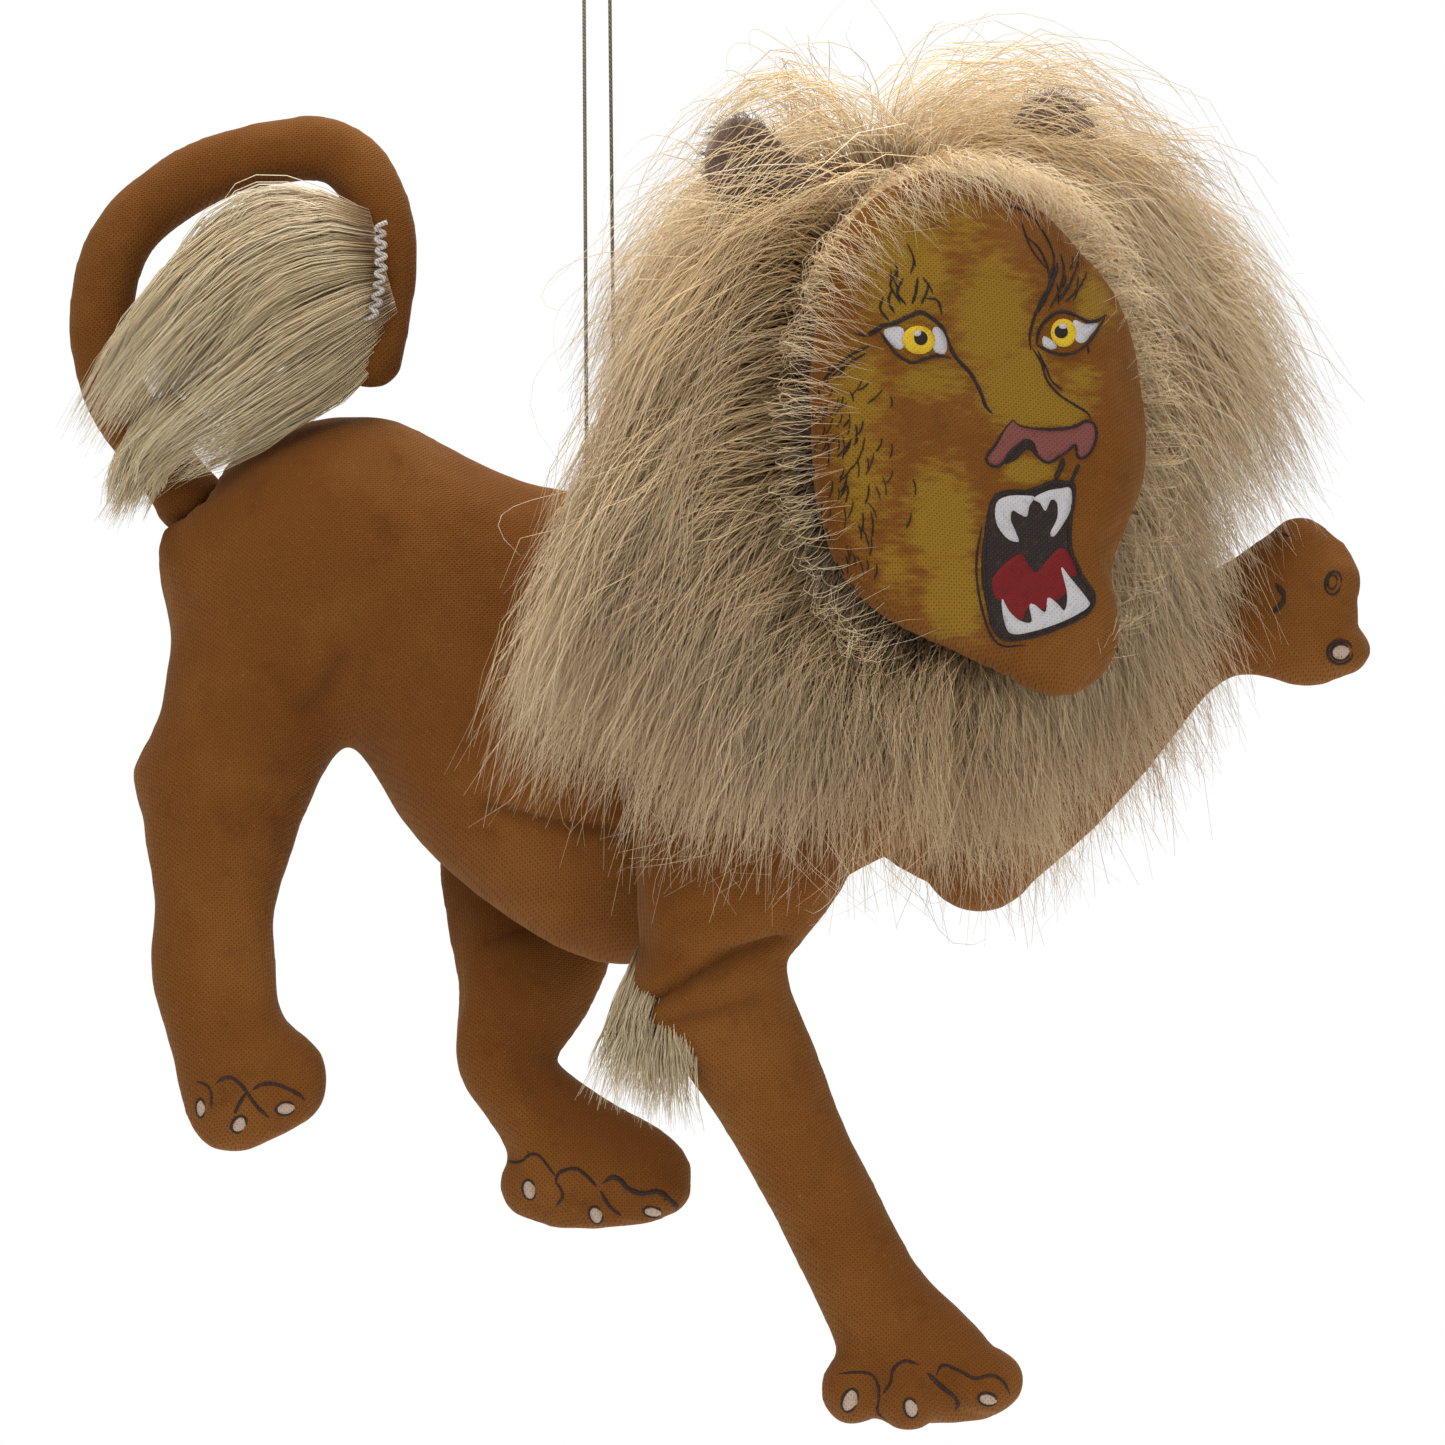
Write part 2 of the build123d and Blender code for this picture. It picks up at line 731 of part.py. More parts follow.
# Fur tuft: a knitted sleeve round the tail's end, stitches, and the pile that flows back.
sleeve_top = root_z + 31.0
sleeve_bottom = root_z + 18.5
sleeve_left = root_x + 12.0
with BuildPart() as sleeve_block:
    with BuildSketch(Plane.XY.offset(sleeve_bottom)):
        with Locations((sleeve_left, 0)):
            Rectangle(body_thickness, body_thickness, align=(Align.MIN, Align.CENTER))
    extrude(amount=sleeve_top - sleeve_bottom)
sleeve_outside = tube(tail_points, tail_radii, tail_radius + seat + backing)
sleeve_inside = tube(tail_points, tail_radii, tail_radius + seat)
with BuildPart() as tail_tuft_backing:
    add(sleeve_outside)
    add(sleeve_inside, mode=Mode.SUBTRACT)
    add(sleeve_block.part, mode=Mode.INTERSECT)

tail_tuft_sections = [
    (root_x + 17.8, -5.0, root_z + 26.0, -72, 5.4, 3.6),
    (root_x + 11.8, -6.8, root_z + 23.4, -62, 9.2, 5.4),
    (root_x + 3.7, -7.6, root_z + 17.8, -52, 9.6, 5.4),
    (root_x - 3.0, -7.7, root_z + 11.4, -48, 7.2, 4.3),
    (root_x - 8.6, -7.3, root_z + 5.2, -42, 2.8, 2.0),
]
tail_tuft_form = limb(tail_tuft_sections)
tail_tuft_seat = tube(tail_points, tail_radii, tail_radius + 2 * seat + backing)
with BuildPart() as tail_tuft:
    add(tail_tuft_form)
    add(tail_tuft_seat, mode=Mode.SUBTRACT)

stitch_radius = 0.3
stitch_length = 1.9
stitch_count = 7
stitch_step = 1.5
stitch_x = root_x + 20.2
stitch_stand_off = tail_radius + backing + stitch_radius + 3 * seat
end_slope = (tail_points[-2][1] - tail_points[-1][1]) / (tail_points[-2][2] - tail_points[-1][2])
with BuildPart() as tail_tuft_stitches:
    for number in range(stitch_count):
        height = sleeve_bottom + 1.6 + number * stitch_step
        stitch_y = tail_points[-1][1] + end_slope * (height - tail_points[-1][2]) - stitch_stand_off
        lean = 58 if number % 2 else -58
        with Locations(Location((stitch_x, stitch_y, height), (0, lean, 0))):
            Cylinder(stitch_radius, stitch_length)

# ---------------------------------------------------------------- hanging thread
thread_radius = thread_diameter / 2
knot_radius = 0.7
knot_height = 0.8
knot_rise = 19.8 / 25.8  # knots' height over the barrel's middle, of its half height
knot_out = side * sqrt(1 - knot_rise**2)
knot_stand_off = 0.95
slope_out = (knot_out / side**2, 19.8 / 25.8**2)
slope_length = sqrt(slope_out[0] ** 2 + slope_out[1] ** 2)
knot_y = knot_out + knot_stand_off * slope_out[0] / slope_length
knot_z = knot_level + knot_stand_off * slope_out[1] / slope_length
leg_gap = 1.4  # half the space between the two legs at the hook
right_knot_centre = Vector(-0.9, -knot_y, knot_z)
left_knot_centre = Vector(1.9, knot_y, knot_z)
right_corner = Vector(-leg_gap, 0, thread_radius)
left_corner = Vector(leg_gap, 0, thread_radius)
right_leg_run = (right_corner - right_knot_centre).normalized()
left_leg_run = (left_corner - left_knot_centre).normalized()
thread_points = [
    right_knot_centre + right_leg_run * (knot_height / 2),
    right_corner,
    left_corner,
    left_knot_centre + left_leg_run * (knot_height / 2),
]
print("thread bends", [hook_radius, hook_radius])
print("thread points", [tuple(round(c, 3) for c in point) for point in thread_points])
thread_form = tube([tuple(point) for point in thread_points], [hook_radius, hook_radius], thread_radius)
thread_length = thread_form.volume / (3.14159265 * thread_radius**2)
print("thread length", round(thread_length, 2))
with BuildPart() as suspension_thread:
    add(thread_form)

with BuildPart() as right_thread_knot:
    with BuildSketch(Plane(origin=right_knot_centre, z_dir=right_leg_run)):
        Circle(knot_radius)
    extrude(amount=knot_height / 2, both=True)

with BuildPart() as left_thread_knot:
    with BuildSketch(Plane(origin=left_knot_centre, z_dir=left_leg_run)):
        Circle(knot_radius)
    extrude(amount=knot_height / 2, both=True)

# ---------------------------------------------------------------- write the pieces
torso_skin.part.label = "torso_skin"
torso_filling.part.label = "torso_filling"
right_hind_leg_skin.part.label = "right_hind_leg_skin"
right_hind_leg_filling.part.label = "right_hind_leg_filling"
left_hind_leg_skin.part.label = "left_hind_leg_skin"
left_hind_leg_filling.part.label = "left_hind_leg_filling"
left_hip_tie.part.label = "left_hip_tie"
right_upper_arm_skin.part.label = "right_upper_arm_skin"
right_upper_arm_filling.part.label = "right_upper_arm_filling"
right_forearm_skin.part.label = "right_forearm_skin"
right_forearm_filling.part.label = "right_forearm_filling"
elbow_tuft.part.label = "elbow_tuft"
left_upper_arm_skin.part.label = "left_upper_arm_skin"
left_upper_arm_filling.part.label = "left_upper_arm_filling"
left_forearm_skin.part.label = "left_forearm_skin"
left_forearm_filling.part.label = "left_forearm_filling"
neck_skin.part.label = "neck_skin"
neck_filling.part.label = "neck_filling"
head_skin.part.label = "head_skin"
head_filling.part.label = "head_filling"
face_skin.part.label = "face_skin"
face_filling.part.label = "face_filling"
mane_backing.part.label = "mane_backing"
mane_pile.part.label = "mane_pile"
right_ear.part.label = "right_ear"
left_ear.part.label = "left_ear"
ruff_backing.part.label = "ruff_backing"
ruff_pile.part.label = "ruff_pile"
tail_skin.part.label = "tail_skin"
tail_filling.part.label = "tail_filling"
tail_wire.part.label = "tail_wire"
tail_tuft_backing.part.label = "tail_tuft_backing"
tail_tuft.part.label = "tail_tuft"
tail_tuft_stitches.part.label = "tail_tuft_stitches"
suspension_thread.part.label = "suspension_thread"
right_thread_knot.part.label = "right_thread_knot"
left_thread_knot.part.label = "left_thread_knot"

export_step(torso_skin.part, "parts/torso_skin.step")
export_step(torso_filling.part, "parts/torso_filling.step")
export_step(right_hind_leg_skin.part, "parts/right_hind_leg_skin.step")
export_step(right_hind_leg_filling.part, "parts/right_hind_leg_filling.step")
export_step(left_hind_leg_skin.part, "parts/left_hind_leg_skin.step")
export_step(left_hind_leg_filling.part, "parts/left_hind_leg_filling.step")
export_step(left_hip_tie.part, "parts/left_hip_tie.step")
export_step(right_upper_arm_skin.part, "parts/right_upper_arm_skin.step")
export_step(right_upper_arm_filling.part, "parts/right_upper_arm_filling.step")
export_step(right_forearm_skin.part, "parts/right_forearm_skin.step")
export_step(right_forearm_filling.part, "parts/right_forearm_filling.step")
export_step(elbow_tuft.part, "parts/elbow_tuft.step")
export_step(left_upper_arm_skin.part, "parts/left_upper_arm_skin.step")
export_step(left_upper_arm_filling.part, "parts/left_upper_arm_filling.step")
export_step(left_forearm_skin.part, "parts/left_forearm_skin.step")
export_step(left_forearm_filling.part, "parts/left_forearm_filling.step")
export_step(neck_skin.part, "parts/neck_skin.step")
export_step(neck_filling.part, "parts/neck_filling.step")
export_step(head_skin.part, "parts/head_skin.step")
export_step(head_filling.part, "parts/head_filling.step")
export_step(face_skin.part, "parts/face_skin.step")
export_step(face_filling.part, "parts/face_filling.step")
export_step(mane_backing.part, "parts/mane_backing.step")
export_step(mane_pile.part, "parts/mane_pile.step")
export_step(right_ear.part, "parts/right_ear.step")
export_step(left_ear.part, "parts/left_ear.step")
export_step(ruff_backing.part, "parts/ruff_backing.step")
export_step(ruff_pile.part, "parts/ruff_pile.step")
export_step(tail_skin.part, "parts/tail_skin.step")
export_step(tail_filling.part, "parts/tail_filling.step")
export_step(tail_wire.part, "parts/tail_wire.step")
export_step(tail_tuft_backing.part, "parts/tail_tuft_backing.step")
export_step(tail_tuft.part, "parts/tail_tuft.step")
export_step(tail_tuft_stitches.part, "parts/tail_tuft_stitches.step")
export_step(suspension_thread.part, "parts/suspension_thread.step")
export_step(right_thread_knot.part, "parts/right_thread_knot.step")
export_step(left_thread_knot.part, "parts/left_thread_knot.step")
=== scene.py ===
import json
import logging
import math
from dataclasses import dataclass
from enum import Enum

import bmesh
import bpy
import numpy as np
from mathutils import Matrix, Vector, noise
from mathutils.bvhtree import BVHTree


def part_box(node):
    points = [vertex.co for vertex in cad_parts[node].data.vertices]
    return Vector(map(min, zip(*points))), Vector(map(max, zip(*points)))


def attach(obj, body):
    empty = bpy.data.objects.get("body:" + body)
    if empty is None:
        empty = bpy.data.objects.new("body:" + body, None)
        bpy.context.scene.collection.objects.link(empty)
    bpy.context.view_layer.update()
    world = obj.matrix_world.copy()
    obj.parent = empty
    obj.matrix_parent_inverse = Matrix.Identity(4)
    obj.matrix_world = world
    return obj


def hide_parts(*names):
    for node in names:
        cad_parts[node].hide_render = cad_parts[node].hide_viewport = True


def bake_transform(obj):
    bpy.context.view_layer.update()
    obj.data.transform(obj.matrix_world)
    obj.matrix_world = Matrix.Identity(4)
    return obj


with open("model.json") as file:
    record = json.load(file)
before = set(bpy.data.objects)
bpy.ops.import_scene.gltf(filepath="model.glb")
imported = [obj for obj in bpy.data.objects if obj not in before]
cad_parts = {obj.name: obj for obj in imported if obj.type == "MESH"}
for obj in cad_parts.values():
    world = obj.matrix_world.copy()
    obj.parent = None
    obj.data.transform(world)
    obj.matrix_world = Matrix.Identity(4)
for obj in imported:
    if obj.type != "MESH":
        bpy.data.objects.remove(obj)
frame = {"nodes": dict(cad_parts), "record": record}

logging.basicConfig(level=logging.INFO, format="%(message)s")
log = logging.getLogger("lion")

MM = 0.001
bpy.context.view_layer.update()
Colour = tuple[float, float, float]
Pair = tuple[float, float]


# ---------------------------------------------------------------- places
def middle(node: str) -> Vector:
    """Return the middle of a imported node's box.

    Args:
        node: the node's name.

    Returns:
        The middle of its box, in metres.
    """
    low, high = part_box(node)
    return (Vector(low) + Vector(high)) / 2


def joint_place(name: str) -> Vector:
    """Return where a joint's pin sits.

    Args:
        name: the joint's name in the record.

    Returns:
        The joint's place, in metres.
    """
    joints = frame["record"]["behaviour"]["joints"]
    return Vector(next(j["pos_m"] for j in joints if j["name"] == name))


def joint_axis(name: str) -> Vector:
    """Return the axis that a joint turns on, as a unit vector."""
    joints = frame["record"]["behaviour"]["joints"]
    return Vector(next(j["axis"] for j in joints if j["name"] == name)).normalized()


class Body(Enum):
    """The moving bodies of the figure."""

    TORSO = "torso"
    RIGHT_HIND_LEG = "right_hind_leg"
    LEFT_HIND_LEG = "left_hind_leg"
    RIGHT_FOREARM = "right_forearm"
    LEFT_FOREARM = "left_forearm"
    NECK = "neck"
    HEAD = "head"
    TAIL = "tail"


ACROSS = joint_axis("head_nod")
LOOKS = Vector((ACROSS.y, -ACROSS.x, 0.0))
UP = Vector((0.0, 0.0, 1.0))
HEAD_MIDDLE = middle("head_skin")
FACE_AHEAD = 22.15 * MM
FACE_DROP = 4.1 * MM
FACE_MIDDLE = HEAD_MIDDLE + LOOKS * FACE_AHEAD - UP * FACE_DROP
RIGHT_HIP = joint_place("right_hip_fold")
LEFT_HIP = joint_place("left_hip_swing")
RIGHT_ELBOW = joint_place("right_elbow_bend")
LEFT_ELBOW = joint_place("left_elbow_bend")


# Stuffing pressed out by cloth simulation; the form is enlarged so that the solver's steps suit it.
CLOTH_SCALE = 10.0
CLOTH_PRESSURE = 4.0
CLOTH_FRAMES = 12
# Pile: a finer fibre for single hairs, and how many of each kind.
FINE_FIBRE = 0.05 * MM
FOREHEAD_HAIRS = 900
SIDE_HAIRS = 500
STRAY_HAIRS = 420
FACE_HALF_WIDTH = 20.0
FACE_HALF_HEIGHT = 27.5
# Where the ears show, in mm: across, above, half width, half height, and how far back.
EAR_WINDOWS = ((18.8, -21.0, 5.6, 5.0, -8.0), (49.5, -15.6, 5.2, 2.8, 4.0))
EAR_HAIR_SHARE = 0.09
# How far each felt ear is drawn out of the pile, in mm.
EAR_LIFT = {"right": (-0.6, -4.0, 1.8), "left": (1.8, -1.5, 0.6)}
TOE_LINE = 0.52 * MM
FACE_LINE = 0.34 * MM


# ---------------------------------------------------------------- shader helpers
def add_node(
    tree: bpy.types.NodeTree, kind: str, links: dict | None = None, values: dict | None = None,
    **options,
):
    """Add a shader node and connect it.

    Args:
        tree: the tree that the node goes in.
        kind: the node's type name.
        links: input name to the socket that feeds it.
        values: input name to its fixed value.
        options: the node's own settings.

    Returns:
        The new node.
    """
    node = tree.nodes.new(kind)
    for option, value in options.items():
        setattr(node, option, value)
    for name, value in (values or {}).items():
        node.inputs[name].default_value = value
    for name, source in (links or {}).items():
        tree.links.new(source, node.inputs[name])
    return node


def sums(tree: bpy.types.NodeTree, operation: str, *terms) -> bpy.types.NodeSocket:
    """Add one math node; a term is a socket or a number.

    Args:
        tree: the tree that the node goes in.
        operation: the math node's operation.
        terms: its inputs, in order.

    Returns:
        The node's output.
    """
    node = add_node(tree, "ShaderNodeMath", operation=operation)
    for socket, term in zip(node.inputs, terms):
        if isinstance(term, (int, float)):
            socket.default_value = term
        else:
            tree.links.new(term, socket)
    return node.outputs[0]


def blend_colour(tree: bpy.types.NodeTree, share, first, second) -> bpy.types.NodeSocket:
    """Mix two colours; each is a socket or a colour.

    Args:
        tree: the tree that the node goes in.
        share: socket or number, 0 for the first colour and 1 for the second.
        first: the first colour.
        second: the second colour.

    Returns:
        The mixed colour's socket.
    """
    node = add_node(tree, "ShaderNodeMix", data_type="RGBA")
    for socket, term in (
        (node.inputs[0], share), (node.inputs[6], first), (node.inputs[7], second),
    ):
        if isinstance(term, (int, float)):
            socket.default_value = term
        elif isinstance(term, tuple):
            socket.default_value = (*term, 1.0)
        else:
            tree.links.new(term, socket)
    return node.outputs[2]


def ramp(tree: bpy.types.NodeTree, value, low: float, high: float) -> bpy.types.NodeSocket:
    """Stretch a value so that low becomes 0 and high becomes 1, softly.

    Args:
        tree: the tree that the node goes in.
        value: the socket to stretch.
        low: the value that becomes 0.
        high: the value that becomes 1.

    Returns:
        The stretched value's socket.
    """
    node = add_node(
        tree,
        "ShaderNodeMapRange",
        {"Value": value},
        {"From Min": low, "From Max": high},
        interpolation_type="SMOOTHSTEP",
    )
    return node.outputs["Result"]


def woven_group() -> bpy.types.NodeTree:
    """Build the plain weave on the bias: two sets of threads that cross, over and under.

    Returns:
        The node group; it gives out Height, 0 to 1, and Gap, 1 between the threads.
    """
    tree = bpy.data.node_groups.new("bias_weave", "ShaderNodeTree")
    face = tree.interface
    face.new_socket("Vector", in_out="INPUT", socket_type="NodeSocketVector")
    face.new_socket("Pitch", in_out="INPUT", socket_type="NodeSocketFloat")
    face.new_socket("Slubs", in_out="INPUT", socket_type="NodeSocketFloat")
    face.new_socket("Height", in_out="OUTPUT", socket_type="NodeSocketFloat")
    face.new_socket("Gap", in_out="OUTPUT", socket_type="NodeSocketFloat")
    given = add_node(tree, "NodeGroupInput")
    taken = add_node(tree, "NodeGroupOutput")
    split = add_node(tree, "ShaderNodeSeparateXYZ", {"Vector": given.outputs["Vector"]})
    x, y, z = split.outputs
    uneven = add_node(
        tree, "ShaderNodeTexNoise", {
            "Vector": given.outputs["Vector"]
        }, {"Scale": 420.0, "Detail": 1.0}
    )
    wobble = sums(
        tree, "MULTIPLY", sums(tree, "SUBTRACT", uneven.outputs[0], 0.5), given.outputs["Slubs"],
    )
    turn = sums(tree, "DIVIDE", 2 * math.pi, given.outputs["Pitch"])
    waves = []
    for angle, sink in ((48.0, 0.3), (137.0, 0.22)):
        along = sums(tree, "MULTIPLY", x, math.cos(math.radians(angle)))
        along = sums(tree, "ADD", along, sums(tree, "MULTIPLY", z, math.sin(math.radians(angle))))
        along = sums(tree, "ADD", along, sums(tree, "MULTIPLY", y, sink))
        waves.append(
            sums(tree, "SINE", sums(tree, "ADD", sums(tree, "MULTIPLY", along, turn), wobble))
        )
    crossing = sums(tree, "MULTIPLY", waves[0], waves[1])
    ribs = sums(tree, "MULTIPLY", waves[1], 0.45)
    height = sums(tree, "ADD", sums(tree, "MULTIPLY", sums(tree, "ADD", crossing, ribs), 0.33), 0.5)
    tree.links.new(height, taken.inputs["Height"])
    tree.links.new(ramp(tree, height, 0.55, 0.1), taken.inputs["Gap"])
    return tree


def wear_group() -> bpy.types.NodeTree:
    """Build the uneven fading and handling marks that cloth gathers.

    Returns:
        The node group; it gives out Faded and Grimy, each 0 to 1.
    """
    tree = bpy.data.node_groups.new("cloth_wear", "ShaderNodeTree")
    face = tree.interface
    face.new_socket("Vector", in_out="INPUT", socket_type="NodeSocketVector")
    face.new_socket("Faded", in_out="OUTPUT", socket_type="NodeSocketFloat")
    face.new_socket("Grimy", in_out="OUTPUT", socket_type="NodeSocketFloat")
    given = add_node(tree, "NodeGroupInput")
    taken = add_node(tree, "NodeGroupOutput")
    broad = add_node(
        tree, "ShaderNodeTexNoise", {"Vector": given.outputs[0]}, {
            "Scale": 75.0, "Detail": 4.0, "Roughness": 0.6,
        }
    )
    small = add_node(
        tree, "ShaderNodeTexNoise", {"Vector": given.outputs[0]}, {
            "Scale": 210.0, "Detail": 3.0, "Roughness": 0.7,
        }
    )
    tree.links.new(ramp(tree, broad.outputs[0], 0.42, 0.72), taken.inputs["Faded"])
    tree.links.new(ramp(tree, small.outputs[0], 0.52, 0.78), taken.inputs["Grimy"])
    return tree


WEAVE = woven_group()
WEAR = wear_group()


def start_material(name: str, **fixed):
    """Make a material with its shader's fixed values set on its own sockets.

    Args:
        name: the material's name.
        fixed: the shader's input names, with _ for a space, and their values.

    Returns:
        The material, its node tree, and its shader node.
    """
    material = bpy.data.materials.new(name)
    material.use_nodes = True
    tree = material.node_tree
    shader = tree.nodes["Principled BSDF"]
    for key, value in fixed.items():
        shader.inputs[key.replace("_", " ")].default_value = value
    return material, tree, shader


def add_bump(
    tree: bpy.types.NodeTree, shader, height, distance: float, strength: float = 0.8,
) -> None:
    """Feed a height to the shader's normal.

    Args:
        tree: the material's tree.
        shader: its shader node.
        height: the height's socket.
        distance: what a height of 1 stands for, in metres.
        strength: how much of it shows.
    """
    bump = add_node(
        tree, "ShaderNodeBump", {"Height": height}, {"Distance": distance, "Strength": strength}
    )
    tree.links.new(bump.outputs[0], shader.inputs["Normal"])


# ---------------------------------------------------------------- finishes
@dataclass(frozen=True)
class Cotton:
    """Dyed plain-weave cotton, with painted shade between its threads, along its sewn joins and in its creases.
    """

    name: str
    light: Colour = (0.165, 0.0565, 0.0095)
    # deep: the grime colour, and the painted shade between the threads, along the sewn join and in the creases
    deep: Colour = (0.066, 0.020, 0.0035)
    faded: Colour = (0.20, 0.075, 0.0145)
    pitch: float = 0.38 * MM
    painted: bool = False

    def build(self) -> bpy.types.Material:
        """Make the material.

        Returns:
            The finished material.
        """
        material, tree, shader = start_material(
            self.name,
            Roughness=0.93,
            Sheen_Weight=0.14,
            Sheen_Roughness=0.45,
            Sheen_Tint=(1.0, 0.72, 0.40, 1.0),
            Specular_IOR_Level=0.12,
        )
        spot = add_node(tree, "ShaderNodeTexCoord").outputs["Object"]
        weave = add_node(tree, "ShaderNodeGroup", node_tree=WEAVE)
        tree.links.new(spot, weave.inputs["Vector"])
        weave.inputs["Pitch"].default_value = self.pitch
        weave.inputs["Slubs"].default_value = 2.2
        wear = add_node(tree, "ShaderNodeGroup", {"Vector": spot}, node_tree=WEAR)
        lint = add_node(
            tree, "ShaderNodeTexNoise", {"Vector": spot}, {"Scale": 2600.0, "Detail": 2.0},
        )
        colour = blend_colour(tree, wear.outputs["Faded"], self.light, self.faded)
        grime = sums(tree, "MULTIPLY", wear.outputs["Grimy"], 0.35)
        colour = blend_colour(tree, grime, colour, self.deep)
        if self.painted:
            colour = self.paint(tree, spot, colour)
        # painted shade: the cloth is made darker in the gaps between the threads
        thread_gap_shade = sums(tree, "MULTIPLY", weave.outputs["Gap"], 0.62)
        colour = blend_colour(tree, thread_gap_shade, colour, self.deep)
        specks = sums(tree, "MULTIPLY", ramp(tree, lint.outputs[0], 0.62, 0.78), 0.28)
        colour = blend_colour(tree, specks, colour, (0.32, 0.16, 0.05))
        # painted shade: darker along the sewn join and in the pressed creases, from the mesh's mark of both
        seam_and_crease_shade = add_node(tree, "ShaderNodeAttribute", attribute_name="seam_and_crease_shade")
        shade = sums(tree, "MULTIPLY", seam_and_crease_shade.outputs["Fac"], 0.55)
        colour = blend_colour(tree, shade, colour, self.deep)
        tree.links.new(colour, shader.inputs["Base Color"])
        height = sums(
            tree, "ADD", weave.outputs["Height"], sums(tree, "MULTIPLY", lint.outputs[0], 0.5),
        )
        add_bump(tree, shader, height, 0.11 * MM)
        return material

    def paint(self, tree: bpy.types.NodeTree, spot, colour):
        """Brush thin ochre over the cloth where the ochre attribute says.

        Args:
            tree: the material's tree.
            spot: the place on the surface.
            colour: the cloth's colour so far.

        Returns:
            The colour with its paint.
        """
        ochre = add_node(tree, "ShaderNodeAttribute", attribute_name="ochre")
        brushed = add_node(tree, "ShaderNodeMapping", {"Vector": spot})
        brushed.inputs["Rotation"].default_value = (0.0, 0.6, 0.4)
        brushed.inputs["Scale"].default_value = (1.0, 1.0, 3.2)
        streaks = add_node(
            tree, "ShaderNodeTexNoise", {"Vector": brushed.outputs[0]}, {
                "Scale": 520.0, "Detail": 3.0,
            }
        )
        cover = sums(
            tree, "ADD", ochre.outputs["Fac"], sums(tree, "SUBTRACT", streaks.outputs[0], 0.5),
        )
        cover = sums(tree, "MULTIPLY", ramp(tree, cover, 0.10, 0.60), 0.88)
        return blend_colour(tree, cover, colour, (0.27, 0.155, 0.016))


@dataclass(frozen=True)
class Paint:
    """Thin fabric paint that takes on the cloth's weave."""

    name: str
    colour: Colour
    worn: Colour
    showing: float = 0.5

    def build(self) -> bpy.types.Material:
        """Make the material.

        Returns:
            The finished material.
        """
        material, tree, shader = start_material(self.name, Roughness=0.8, Specular_IOR_Level=0.3)
        spot = add_node(tree, "ShaderNodeTexCoord").outputs["Object"]
        weave = add_node(tree, "ShaderNodeGroup", node_tree=WEAVE)
        tree.links.new(spot, weave.inputs["Vector"])
        weave.inputs["Pitch"].default_value = 0.38 * MM
        weave.inputs["Slubs"].default_value = 2.2
        patchy = add_node(
            tree, "ShaderNodeTexNoise", {"Vector": spot}, {"Scale": 1300.0, "Detail": 2.0},
        )
        share = sums(tree, "MULTIPLY", weave.outputs["Gap"], self.showing)
        share = sums(
            tree, "ADD", share,
            sums(tree, "MULTIPLY", ramp(tree, patchy.outputs[0], 0.5, 0.75), 0.3),
        )
        tree.links.new(
            blend_colour(tree, share, self.colour, self.worn), shader.inputs["Base Color"],
        )
        add_bump(tree, shader, weave.outputs["Height"], 0.08 * MM)
        return material


@dataclass(frozen=True)
class Mohair:
    """Long pale pile: it changes from fibre to fibre and from root to tip, with painted shade at the roots and,
    through the tone, on the low locks of the mane.
    """

    name: str
    gold: Colour = (0.93, 0.69, 0.37)
    beige: Colour = (0.86, 0.66, 0.37)
    tip: Colour = (0.66, 0.50, 0.31)
    # root: the painted shade near the roots of the fibres
    root: Colour = (0.34, 0.20, 0.085)

    def build(self) -> bpy.types.Material:
        """Make the material.

        Returns:
            The finished material.
        """
        material, tree, shader = start_material(
            self.name, Roughness=0.42, Sheen_Weight=0.2, Sheen_Roughness=0.3, Specular_IOR_Level=0.5
        )
        reach = add_node(tree, "ShaderNodeAttribute", attribute_name="reach").outputs["Fac"]
        tone = add_node(tree, "ShaderNodeAttribute", attribute_name="tone").outputs["Fac"]
        warm = add_node(tree, "ShaderNodeAttribute", attribute_name="warm").outputs["Fac"]
        spot = add_node(tree, "ShaderNodeTexCoord").outputs["Object"]
        bands = add_node(
            tree, "ShaderNodeTexNoise", {"Vector": spot}, {"Scale": 900.0, "Detail": 2.0},
        )
        colour = blend_colour(tree, warm, self.beige, self.gold)
        colour = blend_colour(tree, ramp(tree, reach, 0.55, 1.1), colour, self.tip)
        # painted shade: darker towards the roots, under the rest of the pile
        colour = blend_colour(tree, ramp(tree, reach, 0.22, 0.0), colour, self.root)
        # low tone darkens the fibre; on the mane the tone holds each clump's own lightness and the painted
        # shade of the low locks
        dark = sums(tree, "MULTIPLY", ramp(tree, tone, 0.5, 0.0), 0.5)
        colour = blend_colour(tree, dark, colour, (0.33, 0.22, 0.12))
        pale = sums(tree, "MULTIPLY", ramp(tree, tone, 0.6, 1.0), 0.65)
        colour = blend_colour(tree, pale, colour, (1.0, 0.90, 0.70))
        soft = sums(tree, "MULTIPLY", bands.outputs[0], 0.1)
        colour = blend_colour(tree, soft, colour, (0.42, 0.30, 0.19))
        tree.links.new(colour, shader.inputs["Base Color"])
        rough = sums(tree, "ADD", sums(tree, "MULTIPLY", bands.outputs[0], 0.2), 0.34)
        tree.links.new(rough, shader.inputs["Roughness"])
        return material


